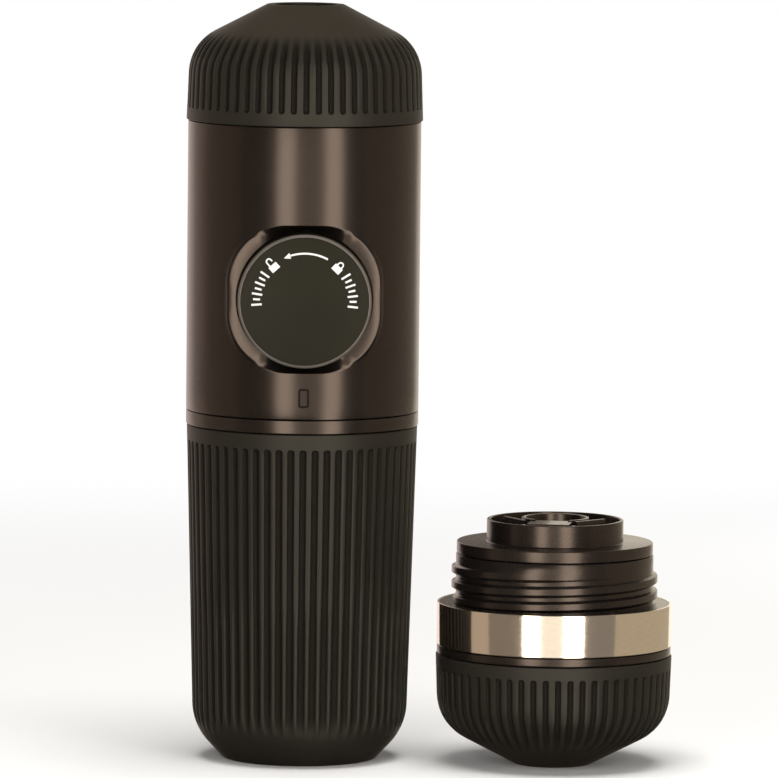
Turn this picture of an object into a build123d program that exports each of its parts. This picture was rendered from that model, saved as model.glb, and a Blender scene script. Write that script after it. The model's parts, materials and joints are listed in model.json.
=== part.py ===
from build123d import *
import os
from math import cos, pi, radians, sqrt, tan

# A handheld manual espresso maker standing on its cup, with its capsule adapter beside it.
# Millimetres. The origin is the centre of the cup's flat base, +Z runs up the maker's axis
# and -Y points out through the pump knob. From the bottom up the maker is a cup over a water
# tank, the pump body and the outlet head. Depths along the pump are measured from the maker's
# axis towards the knob, so a depth of 20 lies at y = -20.

# ---- Driving dimensions -----------------------------------------------------------------

# Overall stack
body_radius = 30.85
cup_height = 89.0
collar_height = 3.6
body_height = 76.6
head_height = 30.6
parting_gap = 0.2  # seam between two outer pieces
fit_gap = 0.05  # radial gap between pieces of one body
running_gap = 0.3  # radial gap between plain pieces that turn or slide
shaft_gap = 0.04  # radial gap of a piston rod or seal in its bore
overcut = 1.0  # how far a cut runs on past the face it opens

# Cup
cup_step = 0.25  # mouth inside the body's outer line
cup_draft = 1.55  # degrees that the cup's wall leans out
cup_chamfer_angle = 42.9  # degrees from upright, of the band round the base
cup_chamfer_height = 8.55
cup_bend_radius = 15.7
cup_wall = 2.0
cup_flute_radius = 1.15
cup_flute_depth = 0.72
cup_flute_gap = 4.0  # from the cup's mouth to the flutes' round ends
flute_count = 60  # flutes round the cup, and round each outlet head

# Water tank inside the cup
tank_gap = 0.5  # to the cup's wall
tank_wall = 2.2
tank_lift = 11.6  # underside above the cup's inner floor
grip_ring_radius = 0.7
grip_ring_proud = 0.45
grip_ring_drop = 9.0  # below the cup's mouth

# Neck that screws into the tank
neck_depth = 10.5
neck_wall = 2.2
neck_plate = 3.0
neck_room = 1.0  # tank bore below the neck

# Body shell
body_wall = 2.0

# Knob, its surround and its lock
knob_rise = 31.6  # pump axis above the body shell's lower edge
knob_proud = 5.65  # outside the body's outer line
knob_radius = 17.5
knob_length = 14.0
knob_wall = 2.0
knob_plate = 4.3
knob_rim = 0.5
knob_gap = 0.4
face_radius = 16.8
face_thickness = 1.2
surround_width = 42.2
surround_height = 40.6
surround_corner = 15.5
surround_setback = 2.35  # behind the body's outer line
lock_ring_thickness = 2.4
lock_lip_thickness = 1.8
lock_lip_radius = 16.5
hub_radius = 9.0
hub_bore = 6.6
lug_count = 3
lug_width = 6.0
lug_radius = 11.6
lug_thickness = 1.6

# Index mark under the knob
mark_rise = 5.7  # its centre above the body shell's lower edge
mark_width = 2.5
mark_length = 5.0
mark_groove = 0.25
mark_depth = 0.8

# Pump
pump_stroke = 12.0
bore_radius = 8.0
cylinder_wall = 2.0
cylinder_spare = 5.0  # left behind the piston with the knob out
cylinder_front = 11.0  # depth of the cylinder's open end
barrel_wall = 2.5
end_cap_thickness = 3.0
piston_length = 7.5
piston_gap = 0.4
pump_head_gap = 0.5  # left in front of the piston at the end of its stroke
seal_height = 2.0
seal_section = 1.8
rod_radius = 3.5
rod_tip_radius = 2.0
rod_tip_length = 5.0
spring_radius = 6.2
spring_wire = 1.2

# Chassis that carries the pump
flange_thickness = 3.0
post_radius = 3.3
post_gap = 2.7  # between the posts and the lock ring
post_count = 4
post_angle = 45.0  # of the first post, from +X
valve_offset = 18.0  # valve channel behind the maker's axis
valve_column_radius = 5.0
barrel_back_wall = 6.0  # behind the valve channel
passage_radius = 1.6
ball_radius = 2.4
ball_lift = 1.5
ball_gap = 0.05
valve_bore_radius = 3.0
inlet_seat_height = 8.0
outlet_seat_drop = 12.0  # below the chassis top
outlet_cap_height = 3.0
outlet_spring_radius = 2.2
outlet_spring_wire = 0.6

# Fasteners
screw_radius = 1.25
screw_head_radius = 2.5
screw_head_height = 1.6
screw_length = 12.0
knob_screw_length = 8.0
knob_screw_head_radius = 3.0
knob_screw_head_height = 2.2

# Intake
filter_radius = 4.6
filter_thickness = 0.8
filter_hole_radius = 0.65
filter_holes = 6
vent_radius = 3.4
vent_thickness = 0.8
vent_stem_radius = 1.2

# Brew group, above the chassis
socket_wall = 3.25  # body's outer line to the socket that takes the outlet head or the adapter
socket_depth = 13.4
deck_thickness = 2.6
shower_margin = 1.85  # to the gasket
shower_thickness = 0.8
shower_hole_radius = 0.8
shower_ring_radii = (8.0, 16.0)
shower_hole_pitch = 6.3
gasket_height = 3.0
gasket_width = 4.0

# Filter basket
basket_gap = 0.9  # to the neck's bore
basket_wall = 0.6
basket_depth = 14.0
basket_rim_step = 1.1  # inside the thread's outer line
basket_rim_height = 1.0
basket_hole_radius = 0.6
basket_ring_radii = (6.0, 12.0, 18.0)
basket_hole_pitch = 4.7

# Outlet head, and the adapter's own head of the same shape
dome_step = 0.45  # outside the body's outer line
dome_draft = 2.0
nose_radius = 10.2
dome_slope = 27.5  # degrees of the cone under the nose
dome_bend_radius = 13.0
dome_inner_bend = 4.5
dome_wall = 4.4
dome_flute_radius = 0.92
dome_flute_depth = 0.62
dome_flute_gap = 3.3  # from the dome's foot to the flutes' round ends
thread_step = 0.4  # from a threaded neck to its plain end, fitted into other pieces
neck_ring_wall = 3.0
neck_ring_in_dome = 11.6
recess_radius = 8.5
recess_depth = 8.4
recess_wall = 2.0
funnel_thickness = 1.6
funnel_floor_gap = 0.3
funnel_collar = 2.4
spout_radius = 2.6
nozzle_radius = 4.4
nozzle_bore = 1.5
nozzle_reach = 3.6
nozzle_flange_radius = 6.6
nozzle_flange_height = 1.2
nozzle_tail = 5.0
nozzle_seal_height = 0.8

# Capsule adapter
adapter_side_gap = 5.5  # between the adapter and the maker, seen from the front
adapter_y = -9.0
adapter_head_height = 29.2
adapter_ring_height = 2.2
adapter_band_step = 0.15  # outside the body's outer line
adapter_band_height = 11.2
adapter_thread_height = 12.9
adapter_neck_wall = 4.3
adapter_neck_in_dome = 11.6
capsule_mouth_radius = 15.2
capsule_foot_radius = 12.2
capsule_depth = 24.0
cradle_wall = 1.6
cradle_rim_height = 2.0
capsule_seal_height = 1.2
cradle_ledge_gap = 1.6  # to the cradle's wall
cradle_ledge_height = 2.0
adapter_funnel_radius = 18.0
adapter_funnel_height = 5.0
band_edge = 0.3
flange_step = 1.3  # inside the thread's outer line
flange_height = 3.1
insert_ring_radius = 18.1
insert_ring_height = 5.9
insert_ring_wall = 1.0
insert_plug_depth = 6.0
cage_radius = 8.8
cage_height = 4.6
cage_wall = 1.0
cage_opening = 6.0  # half width of the gap in front of the cage
wing_length = 6.5
panel_setback = 13.2
panel_half_width = 6.6
wing_setback = 5.6
panel_height = 4.0
needle_count = 3
needle_ring_radius = 6.0
needle_radius = 1.1
needle_length = 5.0
needle_taper = 9.0

# ---- Heights and depths that follow -----------------------------------------------------

collar_z = cup_height + parting_gap
collar_top = collar_z + collar_height
body_z = collar_top + parting_gap
body_top = body_z + body_height
head_z = body_top + parting_gap
shell_bore = body_radius - body_wall
liner_radius = shell_bore - fit_gap
cup_mouth_radius = body_radius - cup_step
dome_radius = body_radius + dome_step
knob_height = body_z + knob_rise
mark_height = body_z + mark_rise

tank_floor_z = cup_wall + tank_lift
chassis_z = body_z + neck_plate
socket_floor = body_top - socket_depth
deck_z = socket_floor - deck_thickness
chassis_top = deck_z
socket_radius = body_radius - socket_wall
thread_radius = socket_radius - running_gap
neck_radius = thread_radius - thread_step
neck_ring_bore = thread_radius - neck_ring_wall
gasket_radius = socket_radius - running_gap / 2
gasket_bore = gasket_radius - gasket_width
shower_radius = gasket_bore - shower_margin
gasket_top = socket_floor + gasket_height
basket_rim_z = gasket_top + fit_gap
neck_ring_z = basket_rim_z + basket_rim_height + fit_gap
basket_top = basket_rim_z + basket_depth
basket_radius = neck_ring_bore - basket_gap
basket_rim_radius = thread_radius - basket_rim_step

knob_reach = body_radius + knob_proud
surround_reach = body_radius - surround_setback
face_seat = knob_reach - face_thickness
knob_back = knob_reach - knob_length
knob_seat = face_seat - knob_plate
knob_well = knob_back - running_gap
lock_ring_back = knob_well - lock_ring_thickness
hub_back = lock_ring_back - running_gap - lug_thickness
surround_back = lock_ring_back - lock_lip_thickness
cylinder_length = pump_head_gap + piston_length + pump_stroke + cylinder_spare
cylinder_back = cylinder_front - cylinder_length
end_cap_front = cylinder_front + end_cap_thickness
piston_back = cylinder_back + pump_head_gap
piston_front = piston_back + piston_length
barrel_radius = bore_radius + cylinder_wall + barrel_wall
barrel_back = -(valve_offset + barrel_back_wall)
piston_radius = bore_radius - piston_gap
seal_front = piston_front - (piston_length - seal_height) / 2

post_ring_radius = (lock_ring_back - post_gap - post_radius) / cos(radians(post_angle))
screw_places = PolarLocations(post_ring_radius, post_count, start_angle=post_angle)
inlet_seat_top = chassis_z + inlet_seat_height
outlet_seat_z = chassis_top - outlet_seat_drop
ball_sink = sqrt(ball_radius**2 - passage_radius**2)  # ball centre above its seat's edge

adapter_ring_z = adapter_head_height + parting_gap
adapter_band_z = adapter_ring_z + adapter_ring_height + parting_gap
adapter_band_top = adapter_band_z + adapter_band_height
adapter_thread_top = adapter_band_top + adapter_thread_height
adapter_neck_z = adapter_head_height - adapter_neck_in_dome
insert_z = adapter_thread_top + parting_gap
insert_top = insert_z + flange_height
adapter_x = 2 * body_radius + adapter_side_gap
adapter_centre = (adapter_x, adapter_y)
adapter_band_radius = body_radius + adapter_band_step
adapter_bore_radius = neck_radius - adapter_neck_wall
cradle_rim_radius = adapter_bore_radius - running_gap
cradle_ledge_radius = capsule_mouth_radius + cradle_wall + cradle_ledge_gap
flange_radius = thread_radius - flange_step


# ---- Planes, profiles and small shapes --------------------------------------------------


def facing(depth):
    """Plane across the pump axis at a depth towards the knob, its normal pointing out at it."""
    return Plane(origin=(0, -depth, knob_height), x_dir=(1, 0, 0), z_dir=(0, -1, 0))


def level(height, centre=(0, 0)):
    """Plane at a height, with its origin on the maker's or the adapter's axis."""
    return Plane(origin=(centre[0], centre[1], height))


def upright(centre, foot, up=1):
    """Plane through an axis to draw a turned piece's profile on; up=-1 draws it upside down."""
    return Plane(origin=(centre[0], centre[1], foot), x_dir=(1, 0, 0), z_dir=(0, -up, 0))


def cup_profile(inset, foot, top):
    """Half section of the cup, or of a piece nested `inset` inside it, from foot to top."""
    wall_slope = tan(radians(cup_draft))
    chamfer_slope = tan(radians(cup_chamfer_angle))
    mouth = cup_mouth_radius - inset
    corner = mouth - wall_slope * (cup_height - cup_chamfer_height)
    base = corner - chamfer_slope * cup_chamfer_height
    lifted = foot + cup_chamfer_height
    with BuildSketch(Plane.XZ) as section:
        with BuildLine():
            Polyline(
                (0, foot),
                (base, foot),
                (corner + wall_slope * foot, lifted),
                (mouth + wall_slope * (top - cup_height), top),
                (0, top),
                close=True,
            )
        make_face()
        bend = section.vertices().sort_by_distance((corner, lifted))[0]
        fillet(bend, cup_bend_radius - inset)
    return section.sketch


def dome_profile(inset, height, nose_cut, bend_radius, plane):
    """Half section of an outlet head, nose at `height` above the plane's origin.

    The outline is drawn `inset` inside the outer surface, and stops nose_cut below the nose.
    """
    slope = tan(radians(dome_slope))
    cone_drop = inset * sqrt(1 + slope**2)
    lean = tan(radians(dome_draft))
    nose_line = height + slope * nose_radius - cone_drop
    wall = dome_radius - inset
    corner_z = (nose_line - slope * wall) / (1 - slope * lean)
    corner = wall - lean * corner_z
    tip = height - nose_cut
    with BuildSketch(plane) as section:
        with BuildLine():
            Polyline(
                (0, 0),
                (wall, 0),
                (corner, corner_z),
                ((nose_line - tip) / slope, tip),
                (0, tip),
                close=True,
            )
        make_face()
        bend = section.vertices().sort_by_distance((corner, corner_z))[0]
        fillet(bend, bend_radius)
    return section.sketch


def disc(plane, outer, inner=0.0):
    """Flat disc or ring to extrude."""
    with BuildSketch(plane) as shape:
        Circle(outer)
        if inner > 0:
            Circle(inner, mode=Mode.SUBTRACT)
    return shape.sketch


def flute_ring(edge, edge_radius, up, lean, radius, depth, gap, length, centre=(0, 0)):
    """Ring of round-ended rods to cut as flutes from a wall that leans in from its edge.

    The rods start `gap` from the edge, lie `depth` deep in the wall and run on out of it.
    """
    start = gap + sqrt(depth * (2 * radius - depth))
    axis_radius = edge_radius - tan(radians(lean)) * start + radius - depth
    tilt = -lean if up > 0 else 180 + lean
    with BuildPart() as ring:
        with Locations((centre[0], centre[1], edge + up * start)):
            with PolarLocations(axis_radius, flute_count):
                Sphere(radius)
                Cylinder(
                    radius,
                    length,
                    rotation=(0, tilt, 0),
                    align=(Align.CENTER, Align.CENTER, Align.MIN),
                )
    return ring.part


def hole_rings(ring_radii, pitch, radius, mode=Mode.ADD):
    """Circles on rings round the maker's axis, about a pitch apart."""
    for ring_radius in ring_radii:
        count = round(2 * pi * ring_radius / pitch)
        with PolarLocations(ring_radius, count, start_angle=180 / count):
            Circle(radius, mode=mode)


def surround_outline(depth):
    """Rounded square of the knob's surround."""
    with BuildSketch(facing(depth)) as shape:
        RectangleRounded(surround_width, surround_height, surround_corner)
    return shape.sketch


def lug_outline(depth, radius, width):
    """Lock lugs, or the notches that let them through, round the knob's hub."""
    length = radius - hub_radius / 2
    with BuildSketch(facing(depth)) as shape:
        with PolarLocations(radius - length / 2, lug_count, start_angle=90):
            Rectangle(length, width)
    return shape.sketch


def mark_outline(groove):
    """Upright slot shape of the index mark, with or without its groove."""
    plane = Plane(origin=(0, -body_radius, mark_height), x_dir=(1, 0, 0), z_dir=(0, -1, 0))
    with BuildSketch(plane) as shape:
        SlotOverall(mark_length + 2 * groove, mark_width + 2 * groove, rotation=90)
    return shape.sketch


def finish(part, name):
    """Label a finished piece and write its file."""
    part.label = name
    export_step(part, f"parts/{name}.step")


os.makedirs("parts", exist_ok=True)

# ---- Cup --------------------------------------------------------------------------------

with BuildPart() as cup:
    revolve(cup_profile(0, 0, cup_height), axis=Axis.Z)
    revolve(
        cup_profile(cup_wall, cup_wall, cup_height + overcut),
        axis=Axis.Z,
        mode=Mode.SUBTRACT,
    )
    flutes = flute_ring(
        cup_height,
        cup_mouth_radius,
        -1,
        cup_draft,
        cup_flute_radius,
        cup_flute_depth,
        cup_flute_gap,
        cup_height - cup_flute_gap,
    )
    add(flutes, mode=Mode.SUBTRACT)
finish(cup.part, "cup")

# ---- Water tank -------------------------------------------------------------------------

tank_inset = cup_wall + tank_gap
tank_top = collar_top
tank_mouth_radius = cup_mouth_radius - tank_inset
tank_bore = tank_mouth_radius - tank_wall
tank_neck_radius = tank_bore - running_gap
grip_ring_z = cup_height - grip_ring_drop
grip_ring_wall = tank_mouth_radius - tan(radians(cup_draft)) * grip_ring_drop
grip_ring_seat = grip_ring_wall + grip_ring_proud - grip_ring_radius
neck_z = body_z - neck_depth

with BuildPart() as water_tank:
    revolve(cup_profile(tank_inset, tank_floor_z, cup_height), axis=Axis.Z)
    extrude(disc(level(cup_height), tank_mouth_radius), amount=tank_top - cup_height)
    revolve(
        cup_profile(tank_inset + tank_wall, tank_floor_z + tank_wall, cup_height),
        axis=Axis.Z,
        mode=Mode.SUBTRACT,
    )
    extrude(
        disc(level(neck_z - neck_room), tank_bore),
        amount=tank_top - neck_z + neck_room + overcut,
        mode=Mode.SUBTRACT,
    )
    with BuildSketch(Plane.XZ):
        with Locations((grip_ring_seat, grip_ring_z)):
            Circle(grip_ring_radius)
    revolve(axis=Axis.Z, mode=Mode.SUBTRACT)
finish(water_tank.part, "water_tank")

with BuildPart() as tank_collar:
    extrude(disc(level(collar_z), body_radius, tank_mouth_radius), amount=collar_height)
finish(tank_collar.part, "tank_collar")

with BuildPart() as cup_grip_ring:
    with BuildSketch(Plane.XZ):
        with Locations((grip_ring_seat, grip_ring_z)):
            Circle(grip_ring_radius)
    revolve(axis=Axis.Z)
finish(cup_grip_ring.part, "cup_grip_ring")

# ---- Neck that closes the body and screws into the tank ---------------------------------

neck_bore = tank_neck_radius - neck_wall
seal_seat_z = body_z - seal_section

with BuildPart() as tank_neck:
    extrude(disc(level(neck_z), tank_neck_radius, neck_bore), amount=neck_depth)
    extrude(
        disc(level(seal_seat_z), tank_neck_radius, tank_neck_radius - seal_section / 2),
        amount=seal_section,
        mode=Mode.SUBTRACT,
    )
finish(tank_neck.part, "tank_neck")

with BuildPart() as body_floor:
    extrude(disc(level(body_z), liner_radius), amount=neck_plate)
    with BuildSketch(level(body_z)):
        with screw_places:
            Circle(screw_radius + fit_gap)
        with Locations((0, valve_offset)):
            Circle(passage_radius)
        with Locations((0, -valve_offset)):
            Circle(vent_stem_radius)
    extrude(amount=neck_plate, mode=Mode.SUBTRACT)
    with BuildSketch(level(body_z)):
        with screw_places:
            Circle(screw_head_radius + fit_gap)
    extrude(amount=screw_head_height, mode=Mode.SUBTRACT)
finish(body_floor.part, "body_floor")

with BuildPart() as tank_seal:
    extrude(
        disc(level(seal_seat_z), tank_neck_radius, tank_neck_radius - seal_section / 2 + fit_gap),
        amount=seal_section - fit_gap,
    )
finish(tank_seal.part, "tank_seal")

with BuildPart() as intake_filter:
    with BuildSketch(level(body_z - filter_thickness)):
        with Locations((0, valve_offset)):
            Circle(filter_radius)
            with PolarLocations(filter_radius / 2, filter_holes):
                Circle(filter_hole_radius, mode=Mode.SUBTRACT)
    extrude(amount=filter_thickness)
finish(intake_filter.part, "intake_filter")

with BuildPart() as vent_valve:
    with BuildSketch(level(body_z - vent_thickness)):
        with Locations((0, -valve_offset)):
            Circle(vent_radius)
    extrude(amount=vent_thickness)
    with BuildSketch(level(body_z)):
        with Locations((0, -valve_offset)):
            Circle(vent_stem_radius)
    extrude(amount=neck_plate)
finish(vent_valve.part, "vent_valve")

# ---- Body shell and index mark ----------------------------------------------------------

with BuildPart() as body_shell:
    extrude(disc(level(body_z), body_radius, shell_bore), amount=body_height)
    extrude(surround_outline(surround_back), amount=surround_reach - surround_back)
    extrude(surround_outline(surround_reach), amount=body_radius, mode=Mode.SUBTRACT)
    extrude(
        disc(facing(lock_ring_back), knob_radius + knob_gap),
        amount=body_radius,
        mode=Mode.SUBTRACT,
    )
    extrude(
        disc(facing(surround_back), lock_lip_radius),
        amount=lock_lip_thickness,
        mode=Mode.SUBTRACT,
    )
    extrude(mark_outline(mark_groove), amount=-mark_depth, mode=Mode.SUBTRACT)
finish(body_shell.part, "body_shell")

with BuildPart() as index_mark:
    extrude(mark_outline(0), amount=-mark_depth)
    extrude(disc(level(body_z), body_radius), amount=body_height, mode=Mode.INTERSECT)
finish(index_mark.part, "index_mark")

# ---- Pump block, the chassis that everything in the body is screwed to --------------------

with BuildPart() as pump_block:
    extrude(disc(level(chassis_z), liner_radius), amount=flange_thickness)
    extrude(disc(level(chassis_top - flange_thickness), liner_radius), amount=flange_thickness)
    with BuildSketch(level(chassis_z)):
        with screw_places:
            Circle(post_radius)
        with Locations((0, valve_offset)):
            Circle(valve_column_radius)
    extrude(amount=chassis_top - chassis_z)
    extrude(disc(facing(barrel_back), barrel_radius), amount=end_cap_front - barrel_back)
    # bore for the cylinder and its end cap
    extrude(
        disc(facing(cylinder_back), bore_radius + cylinder_wall + fit_gap),
        amount=end_cap_front - cylinder_back,
        mode=Mode.SUBTRACT,
    )
    # port from the cylinder to the valve channel
    extrude(
        disc(facing(-valve_offset), passage_radius),
        amount=valve_offset + cylinder_back,
        mode=Mode.SUBTRACT,
    )
    with BuildSketch(level(chassis_z)):
        with Locations((0, valve_offset)):
            Circle(passage_radius)
    extrude(amount=chassis_top - chassis_z, mode=Mode.SUBTRACT)
    with BuildSketch(level(chassis_z)):
        with Locations((0, valve_offset)):
            Circle(valve_bore_radius)
    extrude(amount=inlet_seat_height + 2 * ball_radius + ball_lift, mode=Mode.SUBTRACT)
    with BuildSketch(level(outlet_seat_z)):
        with Locations((0, valve_offset)):
            Circle(valve_bore_radius)
    extrude(amount=outlet_seat_drop, mode=Mode.SUBTRACT)
    # screw holes from below and from above
    for hole_z in (chassis_z, chassis_top - screw_length):
        with BuildSketch(level(hole_z)):
            with screw_places:
                Circle(screw_radius)
        extrude(amount=screw_length, mode=Mode.SUBTRACT)
finish(pump_block.part, "pump_block")

with BuildPart() as pump_cylinder:
    extrude(
        disc(facing(cylinder_back), bore_radius + cylinder_wall, bore_radius),
        amount=cylinder_length,
    )
finish(pump_cylinder.part, "pump_cylinder")

with BuildPart() as cylinder_end_cap:
    extrude(
        disc(facing(cylinder_front), bore_radius + cylinder_wall, rod_radius + shaft_gap),
        amount=end_cap_thickness,
    )
finish(cylinder_end_cap.part, "cylinder_end_cap")

# ---- Piston, rod and return spring --------------------------------------------------------

with BuildPart() as piston:
    extrude(disc(facing(piston_back), piston_radius), amount=piston_length)
    extrude(
        disc(facing(seal_front - seal_height), piston_radius, piston_radius - seal_section / 2),
        amount=seal_height,
        mode=Mode.SUBTRACT,
    )
    extrude(
        disc(facing(piston_front - rod_tip_length), rod_tip_radius),
        amount=rod_tip_length,
        mode=Mode.SUBTRACT,
    )
finish(piston.part, "piston")

with BuildPart() as piston_seal:
    extrude(
        disc(
            facing(seal_front - seal_height),
            bore_radius - shaft_gap,
            piston_radius - seal_section / 2,
        ),
        amount=seal_height,
    )
finish(piston_seal.part, "piston_seal")

with BuildPart() as piston_rod:
    extrude(disc(facing(piston_front), rod_radius), amount=knob_seat - piston_front)
    extrude(disc(facing(piston_front - rod_tip_length), rod_tip_radius), amount=rod_tip_length)
    extrude(
        disc(facing(knob_seat - knob_screw_length), screw_radius + fit_gap),
        amount=knob_screw_length,
        mode=Mode.SUBTRACT,
    )
finish(piston_rod.part, "piston_rod")

with BuildPart() as return_spring:
    extrude(
        disc(facing(end_cap_front), spring_radius, spring_radius - spring_wire),
        amount=knob_seat - end_cap_front,
    )
finish(return_spring.part, "return_spring")

# ---- Knob and its lock ----------------------------------------------------------------

with BuildPart() as lock_collar:
    extrude(
        disc(facing(lock_ring_back), knob_radius + knob_gap - fit_gap, hub_radius + running_gap),
        amount=lock_ring_thickness,
    )
    extrude(
        lug_outline(lock_ring_back, lug_radius + knob_gap, lug_width + 2 * knob_gap),
        amount=lock_ring_thickness,
        mode=Mode.SUBTRACT,
    )
finish(lock_collar.part, "lock_collar")

with BuildPart() as knob:
    extrude(disc(facing(knob_back), knob_radius), amount=knob_length)
    chamfer(knob.edges().group_by(Axis.Y)[0], knob_rim)
    extrude(
        disc(facing(knob_back), knob_radius - knob_wall, hub_radius),
        amount=knob_seat - knob_back,
        mode=Mode.SUBTRACT,
    )
    extrude(disc(facing(hub_back), hub_radius), amount=knob_back - hub_back)
    extrude(lug_outline(hub_back, lug_radius, lug_width), amount=lug_thickness)
    extrude(disc(facing(hub_back), hub_bore), amount=knob_seat - hub_back, mode=Mode.SUBTRACT)
    extrude(disc(facing(face_seat), face_radius), amount=face_thickness, mode=Mode.SUBTRACT)
    extrude(
        disc(facing(knob_seat), screw_radius + fit_gap),
        amount=knob_plate,
        mode=Mode.SUBTRACT,
    )
    extrude(
        disc(facing(face_seat - knob_screw_head_height), knob_screw_head_radius + fit_gap),
        amount=knob_screw_head_height,
        mode=Mode.SUBTRACT,
    )
finish(knob.part, "knob")

with BuildPart() as knob_face:
    extrude(disc(facing(face_seat), face_radius - fit_gap), amount=face_thickness)
finish(knob_face.part, "knob_face")

with BuildPart() as knob_screw:
    screw_shoulder = face_seat - knob_screw_head_height
    extrude(
        disc(facing(screw_shoulder), knob_screw_head_radius),
        amount=knob_screw_head_height - fit_gap,
    )
    extrude(
        disc(facing(knob_seat - knob_screw_length + fit_gap), screw_radius),
        amount=screw_shoulder - knob_seat + knob_screw_length - fit_gap,
    )
finish(knob_screw.part, "knob_screw")

# ---- Valves -----------------------------------------------------------------------------


def valve_disc(height, outer, inner=0.0):
    """Disc or ring in the valve channel."""
    return disc(level(height, (0, valve_offset)), outer, inner)


with BuildPart() as inlet_valve_seat:
    extrude(
        valve_disc(chassis_z, valve_bore_radius - fit_gap, passage_radius),
        amount=inlet_seat_height,
    )
finish(inlet_valve_seat.part, "inlet_valve_seat")

with BuildPart() as inlet_ball:
    with Locations((0, valve_offset, inlet_seat_top + ball_sink + ball_gap)):
        Sphere(ball_radius)
finish(inlet_ball.part, "inlet_ball")

with BuildPart() as outlet_ball:
    with Locations((0, valve_offset, outlet_seat_z + ball_sink + ball_gap)):
        Sphere(ball_radius)
finish(outlet_ball.part, "outlet_ball")

outlet_cap_z = chassis_top - outlet_cap_height
outlet_spring_z = outlet_seat_z + ball_sink + ball_radius + ball_gap

with BuildPart() as outlet_valve_spring:
    extrude(
        valve_disc(
            outlet_spring_z,
            outlet_spring_radius,
            outlet_spring_radius - outlet_spring_wire,
        ),
        amount=outlet_cap_z - outlet_spring_z,
    )
finish(outlet_valve_spring.part, "outlet_valve_spring")

with BuildPart() as outlet_valve_cap:
    extrude(
        valve_disc(outlet_cap_z, valve_bore_radius - fit_gap, passage_radius),
        amount=outlet_cap_height,
    )
finish(outlet_valve_cap.part, "outlet_valve_cap")

# ---- Brew group --------------------------------------------------------------------------

with BuildPart() as brew_head:
    extrude(disc(level(deck_z), liner_radius), amount=deck_thickness + socket_depth)
    extrude(
        disc(level(socket_floor), socket_radius),
        amount=socket_depth,
        mode=Mode.SUBTRACT,
    )
    with BuildSketch(level(deck_z)):
        with screw_places:
            Circle(screw_radius + fit_gap)
        with Locations((0, valve_offset)):
            Circle(passage_radius)
        Circle(screw_radius)
    extrude(amount=deck_thickness, mode=Mode.SUBTRACT)
    with BuildSketch(level(socket_floor - screw_head_height)):
        with screw_places:
            Circle(screw_head_radius + fit_gap)
    extrude(amount=screw_head_height, mode=Mode.SUBTRACT)
finish(brew_head.part, "brew_head")

with BuildPart() as brew_gasket:
    extrude(
        disc(level(socket_floor), gasket_radius, gasket_bore),
        amount=gasket_height,
    )
finish(brew_gasket.part, "brew_gasket")

with BuildPart() as shower_screen:
    with BuildSketch(level(socket_floor)):
        Circle(shower_radius)
        Circle(screw_radius + fit_gap, mode=Mode.SUBTRACT)
        hole_rings(shower_ring_radii, shower_hole_pitch, shower_hole_radius, Mode.SUBTRACT)
    extrude(amount=shower_thickness)
finish(shower_screen.part, "shower_screen")

with BuildPart() as shower_screw:
    extrude(disc(level(socket_floor + shower_thickness), screw_head_radius), amount=screw_head_height)
    extrude(
        disc(level(deck_z), screw_radius - fit_gap),
        amount=deck_thickness + shower_thickness,
    )
finish(shower_screw.part, "shower_screw")

with BuildPart() as chassis_screws:
    with BuildSketch(level(body_z)):
        with screw_places:
            Circle(screw_head_radius)
    extrude(amount=screw_head_height)
    with BuildSketch(level(body_z + screw_head_height)):
        with screw_places:
            Circle(screw_radius - fit_gap)
    extrude(amount=screw_length)
finish(chassis_screws.part, "chassis_screws")

with BuildPart() as brew_head_screws:
    with BuildSketch(level(socket_floor - screw_head_height)):
        with screw_places:
            Circle(screw_head_radius)
    extrude(amount=screw_head_height)
    with BuildSketch(level(socket_floor - screw_head_height)):
        with screw_places:
            Circle(screw_radius - fit_gap)
    extrude(amount=-screw_length)
finish(brew_head_screws.part, "brew_head_screws")

# ---- Filter basket, open towards the shower screen ------------------------------------------

with BuildPart() as filter_basket:
    extrude(disc(level(basket_rim_z), basket_rim_radius), amount=basket_rim_height)
    extrude(disc(level(basket_rim_z), basket_radius), amount=basket_depth)
    extrude(
        disc(level(basket_rim_z), basket_radius - basket_wall),
        amount=basket_depth - basket_wall,
        mode=Mode.SUBTRACT,
    )
    with BuildSketch(level(basket_top - basket_wall)):
        hole_rings(basket_ring_radii, basket_hole_pitch, basket_hole_radius)
    extrude(amount=basket_wall, mode=Mode.SUBTRACT)
finish(filter_basket.part, "filter_basket")

# ---- Outlet head ------------------------------------------------------------------------


def turn(profile, centre=(0, 0), mode=Mode.ADD):
    """Turn a half section about the maker's or the adapter's axis."""
    revolve(profile, axis=Axis((centre[0], centre[1], 0), (0, 0, 1)), mode=mode)


def add_dome(centre, foot, up, height, socket):
    """Add an outlet head's shell, with its neck's socket below and the nozzle's recess on top."""
    plane = upright(centre, foot, up)
    turn(dome_profile(0, height, 0, dome_bend_radius, plane), centre)
    roof = recess_depth + recess_wall
    turn(dome_profile(dome_wall, height, roof, dome_inner_bend, plane), centre, Mode.SUBTRACT)
    mouth = level(foot, centre)
    nose = level(foot + up * height, centre)
    extrude(disc(mouth, neck_radius + fit_gap), amount=up * socket, mode=Mode.SUBTRACT)
    extrude(disc(nose, recess_radius), amount=-up * recess_depth, mode=Mode.SUBTRACT)
    extrude(disc(nose, spout_radius), amount=-up * roof, mode=Mode.SUBTRACT)
    flutes = flute_ring(
        foot,
        dome_radius,
        up,
        dome_draft,
        dome_flute_radius,
        dome_flute_depth,
        dome_flute_gap,
        height,
        centre,
    )
    add(flutes, mode=Mode.SUBTRACT)


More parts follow.
